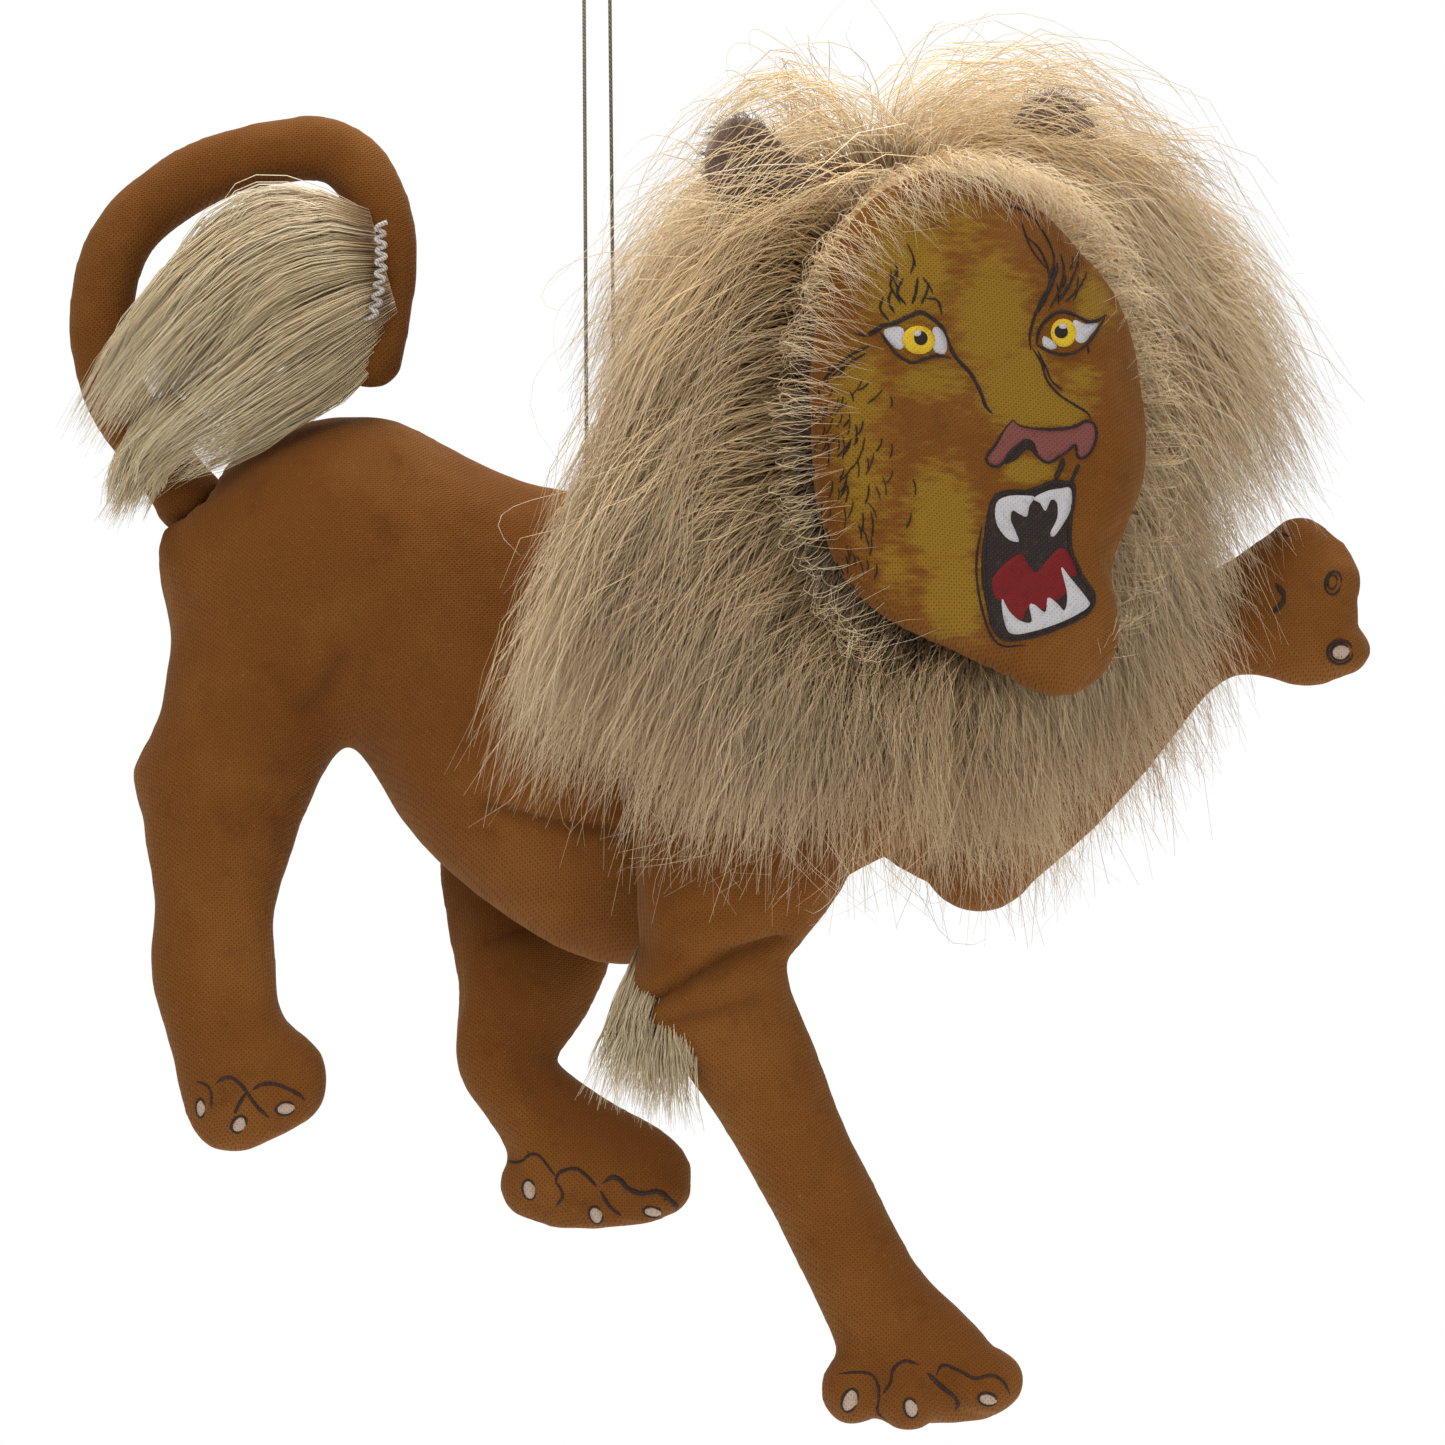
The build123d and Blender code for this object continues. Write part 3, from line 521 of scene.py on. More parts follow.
@dataclass(frozen=True)
class Felt:
    """Matted wool felt with darker clumps."""

    name: str
    light: Colour = (0.34, 0.235, 0.185)
    dark: Colour = (0.115, 0.078, 0.062)

    def build(self) -> bpy.types.Material:
        """Make the material.

        Returns:
            The finished material.
        """
        material, tree, shader = start_material(self.name, Roughness=0.95, Sheen_Weight=0.4)
        spot = add_node(tree, "ShaderNodeTexCoord").outputs["Object"]
        clumps = add_node(
            tree, "ShaderNodeTexNoise", {"Vector": spot}, {
                "Scale": 480.0, "Detail": 5.0, "Roughness": 0.7,
            }
        )
        fibres = add_node(
            tree, "ShaderNodeTexNoise", {"Vector": spot}, {
                "Scale": 2200.0, "Detail": 3.0, "Distortion": 1.5,
            }
        )
        share = sums(
            tree, "ADD", sums(tree, "MULTIPLY", clumps.outputs[0], 0.7),
            sums(tree, "MULTIPLY", fibres.outputs[0], 0.4),
        )
        colour = blend_colour(tree, ramp(tree, share, 0.4, 0.72), self.dark, self.light)
        tree.links.new(colour, shader.inputs["Base Color"])
        add_bump(tree, shader, share, 0.25 * MM)
        return material


@dataclass(frozen=True)
class Twist:
    """Twisted or drawn strand: thread, waxed cord, wire or knitted ground."""

    name: str
    light: Colour
    dark: Colour
    rough: float = 0.6
    metal: float = 0.0
    scale: float = 900.0

    def build(self) -> bpy.types.Material:
        """Make the material.

        Returns:
            The finished material.
        """
        material, tree, shader = start_material(
            self.name, Roughness=self.rough, Metallic=self.metal,
        )
        spot = add_node(tree, "ShaderNodeTexCoord").outputs["Object"]
        plies = add_node(
            tree,
            "ShaderNodeTexWave",
            {"Vector": spot},
            {"Scale": self.scale, "Distortion": 2.5, "Detail": 2.0},
            bands_direction="DIAGONAL",
        )
        spread = add_node(
            tree, "ShaderNodeTexNoise", {"Vector": spot}, {"Scale": 350.0, "Detail": 3.0},
        )
        share = sums(
            tree, "MULTIPLY", plies.outputs["Fac"], sums(tree, "ADD", spread.outputs[0], 0.35),
        )
        tree.links.new(
            blend_colour(tree, share, self.dark, self.light), shader.inputs["Base Color"],
        )
        add_bump(tree, shader, plies.outputs["Fac"], 0.08 * MM)
        return material


class Finishes:
    """Every material of the figure, each made once."""

    def __init__(self) -> None:
        """Make the materials."""
        self.cotton = Cotton("tan_cotton").build()
        self.face_cotton = Cotton(
            "painted_face_cotton", light=(
                0.165, 0.058, 0.009,
            ), deep=(0.062, 0.021, 0.004), painted=True
        ).build()
        self.mane = Mohair("mane_mohair").build()
        self.tuft = Mohair(
            "tuft_mohair", gold=(0.70, 0.56, 0.32), beige=(0.60, 0.49, 0.30), tip=(0.68, 0.57, 0.37)
        ).build()
        self.felt = Felt("ear_felt").build()
        self.knit = Twist(
            "knit_backing", (0.50, 0.38, 0.25), (0.26, 0.17, 0.10), 0.9, scale=700.0,
        ).build()
        self.wire = Twist("annealed_wire", (0.55, 0.54, 0.52), (0.30, 0.29, 0.28), 0.4, 1.0).build()
        self.stitch = Twist(
            "sewing_thread", (0.74, 0.70, 0.64), (0.30, 0.27, 0.24), 0.7, scale=1500.0,
        ).build()
        self.waxed = Twist("waxed_thread", (0.27, 0.13, 0.06), (0.12, 0.05, 0.025), 0.45).build()
        self.hanging = Twist(
            "hanging_thread", (0.30, 0.26, 0.17), (0.09, 0.075, 0.045), 0.55, scale=1400.0,
        ).build()
        self.ink = Paint("black_ink", (0.013, 0.010, 0.010), (0.085, 0.035, 0.016)).build()
        self.toe_ink = Paint("toe_ink", (0.022, 0.011, 0.008), (0.07, 0.027, 0.010), 0.8).build()
        self.white = Paint("white_paint", (0.50, 0.48, 0.50), (0.26, 0.23, 0.23)).build()
        self.claw = Paint("claw_paint", (0.44, 0.33, 0.26), (0.22, 0.13, 0.08)).build()
        self.yellow = Paint("yellow_paint", (0.66, 0.44, 0.02), (0.36, 0.19, 0.010)).build()
        self.red = Paint("dark_red_paint", (0.165, 0.006, 0.006), (0.06, 0.004, 0.004)).build()
        self.mauve = Paint("mauve_paint", (0.20, 0.060, 0.050), (0.09, 0.028, 0.022), 0.8).build()


# ---------------------------------------------------------------- mesh helpers
def new_object(
    name: str, mesh: bpy.types.Mesh, material: bpy.types.Material | None = None,
) -> bpy.types.Object:
    """Link a mesh to the scene as an object at the origin.

    Args:
        name: the object's name.
        mesh: its mesh.
        material: its one material, if it has one.

    Returns:
        The object.
    """
    made = bpy.data.objects.new(name, mesh)
    bpy.context.scene.collection.objects.link(made)
    if material is not None:
        mesh.materials.clear()
        mesh.materials.append(material)
    return made


def from_bmesh(
    name: str, form: bmesh.types.BMesh, material: bpy.types.Material | None = None,
) -> bpy.types.Object:
    """Turn a bmesh into a smooth object and free it.

    Args:
        name: the object's name.
        form: the bmesh.
        material: its material.

    Returns:
        The object.
    """
    mesh = bpy.data.meshes.new(name)
    form.to_mesh(mesh)
    form.free()
    mesh.shade_smooth()
    return new_object(name, mesh, material)


def apply_all(piece: bpy.types.Object) -> None:
    """Apply a piece's modifiers to its mesh.

    Args:
        piece: the object to settle.
    """
    graph = bpy.context.evaluated_depsgraph_get()
    settled = bpy.data.meshes.new_from_object(piece.evaluated_get(graph))
    piece.modifiers.clear()
    old = piece.data
    piece.data = settled
    bpy.data.meshes.remove(old)


def places(mesh: bpy.types.Mesh) -> np.ndarray:
    """Return the mesh's vertices as rows of x, y, z."""
    flat = np.empty(len(mesh.vertices) * 3)
    mesh.vertices.foreach_get("co", flat)
    return flat.reshape(-1, 3)


def move_to(mesh: bpy.types.Mesh, rows: np.ndarray) -> None:
    """Put the mesh's vertices at the rows."""
    mesh.vertices.foreach_set("co", rows.ravel())
    mesh.update()


def directions(mesh: bpy.types.Mesh) -> np.ndarray:
    """Return each vertex's normal as a row."""
    flat = np.empty(len(mesh.vertices) * 3, dtype=np.float32)
    mesh.vertex_normals.foreach_get("vector", flat)
    return flat.reshape(-1, 3).astype(float)


def mark(mesh: bpy.types.Mesh, name: str, values: np.ndarray) -> None:
    """Write one number for each vertex as a named attribute.

    Args:
        mesh: the mesh.
        name: the attribute's name.
        values: one value for each vertex.
    """
    attribute = mesh.attributes.new(name, "FLOAT", "POINT")
    attribute.data.foreach_set("value", values.astype(np.float32))


def keep_largest(form: bmesh.types.BMesh) -> None:
    """Delete every separate shell but the one with the most vertices.

    Args:
        form: the bmesh to clean.
    """
    left = set(form.verts)
    best: set = set()
    while left:
        front = [left.pop()]
        shell = set(front)
        while front:
            for edge in front.pop().link_edges:
                for vert in edge.verts:
                    if vert in left:
                        left.discard(vert)
                        shell.add(vert)
                        front.append(vert)
        if len(shell) > len(best):
            best = shell
    bmesh.ops.delete(form, geom=[v for v in form.verts if v not in best], context="VERTS")


def smooth_line(
    points: list[Pair] | tuple[Pair, ...], closed: bool = False, step: float = 0.35,
) -> np.ndarray:
    """Draw a smooth line through a few points.

    Args:
        points: the points, in millimetres.
        closed: whether the line comes back to its start.
        step: the spacing along the line, in millimetres.

    Returns:
        Rows of points along the line.
    """
    rows = np.array(points, float)
    if closed:
        rows = np.vstack([rows[-1], rows, rows[0], rows[1]])
    else:
        rows = np.vstack([2 * rows[0] - rows[1], rows, 2 * rows[-1] - rows[-2]])
    drawn = []
    for a, b, c, d in zip(rows, rows[1:], rows[2:], rows[3:]):
        count = max(2, int(np.linalg.norm(c - b) / step) + 1)
        t = np.linspace(0, 1, count, endpoint=False)[:, None]
        drawn.append(
            0.5 * (
                2 * b + (c - a) * t + (
                    2 * a - 5 * b + 4 * c - d
                ) * t**2 + (3 * b - a - 3 * c + d) * t**3
            )
        )
    if not closed:
        drawn.append(rows[-2][None, :])
    return np.vstack(drawn)


# ---------------------------------------------------------------- sewn and stuffed forms
@dataclass(frozen=True)
class Plug:
    """A soft lump that the stuffing makes: its place and half sizes, in metres."""

    place: Vector
    half: Vector


@dataclass(frozen=True)
class Crease:
    """A fold pressed into the cloth along a line in side view, in millimetres."""

    line: tuple[Pair, ...]
    width: float
    depth: float
    side: int = -1


@dataclass
class StuffedForm:
    """A sewn cloth bag full of stuffing that stands for packed skins and fillings."""

    name: str
    fillings: tuple[str, ...]
    skins: tuple[str, ...]
    slot: str = "tan_cotton"
    plugs: tuple[Plug, ...] = ()
    creases: tuple[Crease, ...] = ()
    eased: tuple[tuple[float, float, float], ...] = ()
    under_cloth: float = 0.5 * MM
    voxel: float = 0.85 * MM
    swell: float = 0.55 * MM
    seam_share: float = 0.11
    fill: float = 0.85
    seed: float = 0.0

    def build(self, material: bpy.types.Material) -> bpy.types.Object:
        """Sew, stuff and finish the form.

        Args:
            material: the cloth's material.

        Returns:
            The finished piece, which still has to be given its body.
        """
        piece = self.gather()
        self.remesh(piece)
        self.puff(piece)
        subdivide = piece.modifiers.new("finer", "SUBSURF")
        subdivide.levels = subdivide.render_levels = 1
        apply_all(piece)
        self.shape_cloth(piece)
        piece.data.shade_smooth()
        piece.data.materials.clear()
        piece.data.materials.append(material)
        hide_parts(*self.skins, *self.fillings)
        log.info("%s: %d faces", self.name, len(piece.data.polygons))
        return piece

    def gather(self) -> bpy.types.Object:
        """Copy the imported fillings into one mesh, with the plugs.

        Returns:
            The rough object.
        """
        form = bmesh.new()
        for node in self.fillings:
            form.from_mesh(frame["nodes"][node].data)
        bmesh.ops.remove_doubles(form, verts=form.verts, dist=1e-6)
        for plug in self.plugs:
            spot = Matrix.Translation(plug.place) @ Matrix.Diagonal((*plug.half, 1.0))
            bmesh.ops.create_icosphere(form, subdivisions=3, radius=1.0, matrix=spot)
        return from_bmesh(self.name, form)

    def remesh(self, piece: bpy.types.Object) -> None:
        """Make one closed skin of even facets, at the cloth's own depth.

        Args:
            piece: the rough object.
        """
        even = piece.modifiers.new("even", "REMESH")
        even.mode = "VOXEL"
        even.voxel_size = self.voxel
        apply_all(piece)
        form = bmesh.new()
        form.from_mesh(piece.data)
        keep_largest(form)
        for _ in range(3):
            bmesh.ops.smooth_vert(
                form, verts=form.verts, factor=0.5, use_axis_x=True, use_axis_y=True, use_axis_z=True
            )
        for across, above, radius in self.eased:
            for share in (1.0, 0.8, 0.6):
                limit = radius * share * MM
                near = [
                    v for v in form.verts if math.hypot(
                        v.co.x - across * MM, v.co.z - above * MM,
                    ) < limit
                ]
                for _ in range(45):
                    bmesh.ops.smooth_vert(
                        form, verts=near, factor=0.5, use_axis_x=True, use_axis_y=True, use_axis_z=True
                    )
        form.normal_update()
        for vert in form.verts:
            vert.co += vert.normal * self.under_cloth
        form.to_mesh(piece.data)
        form.free()

    def puff(self, piece: bpy.types.Object) -> None:
        """Let the stuffing press the cloth out, and cap how far it goes.

        Args:
            piece: the closed skin.
        """
        before = places(piece.data)
        move_to(piece.data, before * CLOTH_SCALE)
        cloth = piece.modifiers.new("pressed", "CLOTH")
        cloth.settings.use_pressure = True
        cloth.settings.uniform_pressure_force = CLOTH_PRESSURE
        cloth.settings.effector_weights.gravity = 0.0
        cloth.settings.quality = 4
        cloth.collision_settings.use_collision = False
        cloth.point_cache.frame_start = 1
        cloth.point_cache.frame_end = CLOTH_FRAMES
        scene = bpy.context.scene
        for number in range(1, CLOTH_FRAMES + 1):
            scene.frame_set(number)
        graph = bpy.context.evaluated_depsgraph_get()
        pressed = places(piece.evaluated_get(graph).data) / CLOTH_SCALE
        piece.modifiers.clear()
        scene.frame_set(1)
        moved = pressed - before
        reach = np.linalg.norm(moved, axis=1)[:, None]
        moved *= np.minimum(1.0, self.swell / np.maximum(reach, 1e-9))
        move_to(piece.data, before + moved)

    def shape_cloth(self, piece: bpy.types.Object) -> None:
        """Draw in the sewn join, press the creases, mark painted shade along both, and leave the cloth a little
        uneven.

        Args:
            piece: the fine mesh.
        """
        mesh = piece.data
        rows = places(mesh)
        normals = directions(mesh)
        # painted shade mark: strongest along the sewn join, where the normal is square to the sides
        seam_and_crease_shade = np.clip(1 - np.abs(normals[:, 1]) / self.seam_share, 0, 1)
        seam_and_crease_shade = seam_and_crease_shade * seam_and_crease_shade * (3 - 2 * seam_and_crease_shade)
        push = -0.28 * MM * seam_and_crease_shade
        for crease in self.creases:
            line = smooth_line(crease.line) * MM
            flat = rows[:, [0, 2]]
            away = np.min(np.linalg.norm(flat[:, None, :] - line[None, :, :], axis=2), axis=1)
            near = np.clip(1 - away / (crease.width * MM), 0, 1) ** 2
            facing = np.clip(normals[:, 1] * crease.side * 2, 0, 1)
            push -= crease.depth * MM * near * facing
            # the creases add their painted shade to the same mark
            seam_and_crease_shade = np.maximum(seam_and_crease_shade, near * facing * 0.8)
        for index, row in enumerate(rows):
            spot = Vector(row) * 1000 + Vector((self.seed, 0, 0))
            push[index] += 0.16 * MM * noise.noise(spot / 7.0) + 0.07 * MM * noise.noise(spot / 2.4)
        move_to(mesh, rows + normals * push[:, None])
        mark(mesh, "seam_and_crease_shade", seam_and_crease_shade)


# ---------------------------------------------------------------- fibres
@dataclass
class Coat:
    """A crowd of separate fibres that are spun into one mesh."""

    name: str
    thickness: float = 0.07 * MM

    def spin(
        self, lines: np.ndarray, tone: np.ndarray, warm: np.ndarray, width: np.ndarray, material,
    ) -> bpy.types.Object:
        """Turn lines of points into tapered fibres.

        Args:
            lines: fibres by points by x, y, z.
            tone: lightness of each fibre, 0 to 1.
            warm: warmth of each fibre, 0 to 1.
            width: each fibre's share of the full thickness.
            material: the pile's material.

        Returns:
            The finished piece.
        """
        count, points, _ = lines.shape
        reach = np.linspace(0, 1, points)
        taper = np.interp(reach, (0.0, 0.15, 0.7, 1.0), (0.9, 1.0, 0.75, 0.22))
        section = bpy.data.curves.new("section", "CURVE")
        corners = section.splines.new("POLY")
        corners.points.add(2)
        for number, corner in enumerate(corners.points):
            angle = number * 2 * math.pi / 3
            corner.co = (self.thickness * math.cos(angle), self.thickness * math.sin(angle), 0, 1)
        corners.use_cyclic_u = True
        profile = bpy.data.objects.new("section", section)
        bpy.context.scene.collection.objects.link(profile)
        curve = bpy.data.curves.new(self.name, "CURVE")
        curve.dimensions = "3D"
        curve.bevel_mode = "OBJECT"
        curve.bevel_object = profile
        padded = np.ones((count, points, 4))
        padded[:, :, :3] = lines
        for row, share in zip(padded, width):
            spline = curve.splines.new("POLY")
            spline.points.add(points - 1)
            spline.points.foreach_set("co", row.ravel())
            spline.points.foreach_set("radius", taper * share)
        holder = bpy.data.objects.new("fibres", curve)
        bpy.context.scene.collection.objects.link(holder)
        graph = bpy.context.evaluated_depsgraph_get()
        mesh = bpy.data.meshes.new_from_object(holder.evaluated_get(graph))
        for extra in (holder, profile):
            bpy.data.objects.remove(extra)
        bpy.data.curves.remove(curve)
        bpy.data.curves.remove(section)
        mesh.name = self.name
        each = len(mesh.vertices) // count
        around = each // points
        mark(mesh, "reach", np.tile(np.repeat(reach, around), count))
        mark(mesh, "tone", np.repeat(tone, each))
        mark(mesh, "warm", np.repeat(warm, each))
        form = bmesh.new()
        form.from_mesh(mesh)
        ends = [edge for edge in form.edges if edge.is_boundary]
        bmesh.ops.holes_fill(form, edges=ends, sides=around)
        bmesh.ops.recalc_face_normals(form, faces=form.faces)
        form.to_mesh(mesh)
        form.free()
        mesh.shade_smooth()
        log.info("%s: %d fibres, %d corners each", self.name, count, each)
        return new_object(self.name, mesh, material)


def unit(rows: np.ndarray) -> np.ndarray:
    """Scale each row to length one."""
    return rows / np.maximum(np.linalg.norm(rows, axis=-1, keepdims=True), 1e-12)


def flow(start, first, second, tip, points: int = 7) -> np.ndarray:
    """Bend a fibre from its root to its tip.

    Args:
        start: roots, one row for each fibre.
        first: where each fibre heads first.
        second: where it comes from at its tip.
        tip: the tips.
        points: how many points each line has.

    Returns:
        Fibres by points by x, y, z.
    """
    t = np.linspace(0, 1, points)[None, :, None]
    a, b, c, d = (row[:, None, :] for row in (start, first, second, tip))
    return a * (1 - t) ** 3 + 3 * b * t * (1 - t) ** 2 + 3 * c * t**2 * (1 - t) + d * t**3


def crimp(
    lines: np.ndarray, rng: np.random.Generator, size: np.ndarray, phase: np.ndarray,
    turns: np.ndarray,
) -> np.ndarray:
    """Give the fibres their wave, more of it towards the tips.

    Args:
        lines: the fibres.
        rng: the random source.
        size: each fibre's wave height, in metres.
        phase: each fibre's phase.
        turns: waves along each fibre.

    Returns:
        The wavy fibres.
    """
    count, points, _ = lines.shape
    t = np.linspace(0, 1, points)[None, :]
    run = unit(lines[:, -1] - lines[:, 0])
    side = unit(
        np.cross(run, unit(rng.normal(size=(count, 3)) * 0.35 + np.array((0.0, -1.0, 0.0))))
    )
    out = unit(np.cross(side, run))
    grow = (t**0.8) * size[:, None]
    first = np.sin(2 * math.pi * turns[:, None] * t + phase[:, None]) * grow
    other = np.cos(2 * math.pi * turns[:, None] * 0.8 * t + phase[:, None]) * grow * 0.6
    return lines + first[:, :, None] * side[:, None, :] + other[:, :, None] * out[:, None, :]


def keep_off(lines: np.ndarray, trees: list[BVHTree], clear: float, below: float) -> np.ndarray:
    """Push fibres out of the cloth that they lie on.

    Args:
        lines: the fibres.
        trees: surfaces to stay clear of.
        clear: least distance from them, in metres.
        below: only points lower than this are looked at.

    Returns:
        The fibres, clear of the surfaces.
    """
    for fibre in lines:
        for point in fibre[1:]:
            if point[2] > below:
                continue
            for tree in trees:
                spot, normal, _, away = tree.find_nearest(Vector(point), 0.012)
                if spot is None:
                    continue
                inside = (Vector(point) - spot).dot(normal) < 0
                if inside or away < clear:
                    point[:] = spot + normal * clear
    return lines


def outward(angle: np.ndarray) -> np.ndarray:
    """Point away from the line of the look, at each angle about it in radians."""
    return np.cos(angle)[:, None] * np.array(ACROSS) + np.sin(angle)[:, None] * np.array(UP)


def tree_of(piece: bpy.types.Object) -> BVHTree:
    """Return a search tree of a finished piece's surface."""
    return BVHTree.FromObject(piece, bpy.context.evaluated_depsgraph_get())


class Lock(Enum):
    """Regions of the mane: range of angle about the look, and range ahead of the head's middle."""

    CROWN_FRONT = (48, 132, -0.1, 0.56)
    CROWN_BACK = (40, 140, -0.95, 0.0)
    RIGHT_FRONT = (125, 205, 0.0, 0.60)
    RIGHT_LOW = (190, 250, 0.0, 0.60)
    RIGHT_BACK = (130, 240, -0.95, 0.1)
    LEFT_FRONT = (-25, 55, 0.0, 0.60)
    LEFT_LOW = (-70, -10, 0.0, 0.60)
    LEFT_BACK = (-60, 50, -0.95, 0.1)
    BEARD = (242, 300, 0.0, 0.60)


# Outer reach of the mane in side view: degrees from +X and millimetres from the head's middle.
MANE_REACH = (
    (
        -180, 31.5,
    ), (-167, 33), (-157, 38), (-146, 46), (-138, 56), (-132, 57), (-126, 53), (-119, 54),
    (-112, 52), (
        -103, 51.5,
    ), (-95, 51.5), (-88, 49.5), (-82, 53), (-77, 55.5), (-67, 52.5), (-53, 50),
    (-40, 48), (-24, 42), (-13, 46.5), (-4, 46.5), (8, 45), (20, 44), (32, 43.5), (42, 42),
    (55, 40), (68, 38), (88, 38.8), (100, 37.2), (113, 35.3), (123, 33.4), (133, 32.7), (151, 31.6),
    (180, 31.5),
)


@dataclass
class Mane:
    """The lion's fur: long pile sewn round the head behind the face."""

    seed: int = 11
    clumps: int = 124
    each: int = 24
    root_radius: float = 17.5 * MM
    root_half_height: float = 26.0 * MM

    def reach(self, degrees: np.ndarray) -> np.ndarray:
        """Return how far the mane reaches at each angle, in metres."""
        angles, radii = zip(*MANE_REACH)
        turned = (degrees + 180) % 360 - 180
        return np.interp(turned, angles, radii) * MM

    def tip_angle(self, degrees: np.ndarray, rng: np.random.Generator) -> np.ndarray:
        """Return the angle that each clump hangs to, combed sideways and down.

        Args:
            degrees: root angles.
            rng: the random source.

        Returns:
            Tip angles, in degrees.
        """
        turned = (degrees + 90) % 360 - 90
        right = turned > 92
        most = np.where(
            right, np.minimum(62, (268 - turned) * 0.55), np.minimum(62, (turned + 84) * 0.5),
        )
        droop = most * rng.uniform(0.25, 1.0, len(turned))
        return np.where(right, turned + droop, turned - droop)

    def roots(self, ahead: np.ndarray, radial: np.ndarray) -> tuple[np.ndarray, np.ndarray]:
        """Place the roots on the head.

        Args:
            ahead: share of the way from the head's middle to its front, -1 to 1.
            radial: where each root lies about the line of the look.

        Returns:
            The roots, and the head's surface direction at each.
        """
        spread = ahead[:, None] * np.array(LOOKS) + np.sqrt(1 - ahead**2)[:, None] * radial
        size = np.array((self.root_radius, self.root_radius, self.root_half_height))
        return np.array(HEAD_MIDDLE) + spread * size, unit(spread / size)

    def tips(self, angle: np.ndarray, length: np.ndarray, depth: np.ndarray, rng) -> np.ndarray:
        """Place the tips.

        Args:
            angle: each tip's angle in side view, in radians.
            length: how far it is from the head's middle in side view.
            depth: how far it is ahead of the head's middle, along the look.
            rng: the random source.

        Returns:
            The tips, clear of the body.
        """
        dx = length * np.cos(angle)
        dy = (LOOKS.x * dx - depth) / -LOOKS.y
        tip = np.array(HEAD_MIDDLE) + np.stack([dx, dy, length * np.sin(angle)], axis=1)
        return self.clear_of_body(tip, rng)

    def grow(self, lock: Lock, number: int) -> tuple[np.ndarray, ...]:
        """Lay out one region's fibres.

        Args:
            lock: the region.
            number: its place in the list, which seeds it.

        Returns:
            Lines, tone, warmth and width of the fibres.
        """
        rng = np.random.default_rng(self.seed + number)
        low, high, back, front = lock.value
        clump_angle = rng.uniform(low, high, self.clumps)
        clump_ahead = rng.uniform(back, front, self.clumps)
        clump_tip = self.tip_angle(clump_angle, rng)
        shortest = 0.62 if front > 0.2 else 0.7
        clump_share = shortest + (1.0 - shortest) * rng.uniform(0, 1, self.clumps) ** 0.8
        clump_depth = rng.uniform(0, 1, self.clumps)
        clump_phase = rng.uniform(0, 2 * math.pi, self.clumps)
        clump_turns = rng.uniform(1.0, 2.2, self.clumps)
        clump_tone = rng.uniform(0.08, 1.0, self.clumps)
        pick = np.repeat(np.arange(self.clumps), self.each)
        count = len(pick)
        angle = np.radians(clump_angle[pick] + rng.normal(0, 6.0, count))
        ahead = np.clip(clump_ahead[pick] + rng.normal(0, 0.07, count), -0.97, 0.6)
        radial = outward(angle)
        root, normal = self.roots(ahead, radial)
        out = unit(normal * (0.45 if front > 0.2 else 0.9) + radial * 0.8)
        tip_angle = np.radians(clump_tip[pick] + rng.normal(0, 4.0, count))
        length = self.reach(np.degrees(tip_angle)) * clump_share[pick]
        length = length * (1 + rng.normal(0, 0.06, count))
        low_share = np.clip(-np.sin(tip_angle), 0, 1)
        if front > 0.2:
            depth = 7 + 8 * clump_depth[pick] + 5 * low_share
        else:
            depth = -23 + 24 * clump_depth[pick] - 4 * low_share
        depth = depth * MM + rng.normal(0, 0.8 * MM, count)
        tip = self.tips(tip_angle, length, depth, rng)
        down = np.stack([0.35 * np.cos(tip_angle), np.zeros(count), np.full(count, -0.9)], axis=1)
        hang = unit(down)
        top = np.clip(np.sin(angle), 0, 1) ** 2
        run = np.linalg.norm(tip - root, axis=1)
        rise = (0.24 + 0.20 * top)[:, None] * run[:, None] + (2.0 * MM * top)[:, None]
        loose = rng.normal(0, 1.1 * MM, (2, count, 3))
        lines = flow(
            root, root + out * rise + loose[0], tip - hang * 0.36 * run[:, None] + loose[1], tip,
        )
        wave = (0.5 + 1.2 * rng.uniform(0, 1, count)) * MM * np.clip(run / 0.03, 0.4, 1.3)
        lines = crimp(
            lines, rng, wave, clump_phase[pick] + rng.normal(0, 0.5, count), clump_turns[pick],
        )
        # painted shade: the low, hanging locks are made darker, on top of each clump's own tone
        tone = np.clip(clump_tone[pick] - 0.55 * low_share + rng.normal(0, 0.17, count), 0, 1)
        high_share = np.clip(np.sin(angle), 0, 1)
        warm = 0.15 + 0.95 * high_share - 0.2 * low_share + rng.normal(0, 0.12, count)
        warm = np.clip(warm, 0, 1)
        width = rng.uniform(0.6, 1.15, count)
        stays = self.bare_ears(lines, rng)
        return lines[stays], tone[stays], warm[stays], width[stays]

    def bare_ears(self, lines: np.ndarray, rng: np.random.Generator) -> np.ndarray:
        """Say which fibres stay, so that the ears show through the pile.

        Args:
            lines: the fibres.
            rng: the random source.

        Returns:
            True for each fibre that stays.
        """
        stays = np.ones(len(lines), bool)
        steps = np.linspace(0, 1, 6, endpoint=False)[None, None, :, None]
        fine = lines[:, :-1, None] * (1 - steps) + lines[:, 1:, None] * steps
        fine = fine.reshape(len(lines), -1, 3) / MM
        for across, above, wide, high, back in EAR_WINDOWS:
            off = ((fine[:, :, 0] - across) / wide) ** 2 + ((fine[:, :, 2] - above) / high) ** 2
            over = (off < 1) & (fine[:, :, 1] < back)
            stays &= ~over.any(axis=1) | (rng.uniform(0, 1, len(lines)) < EAR_HAIR_SHARE)
        return stays

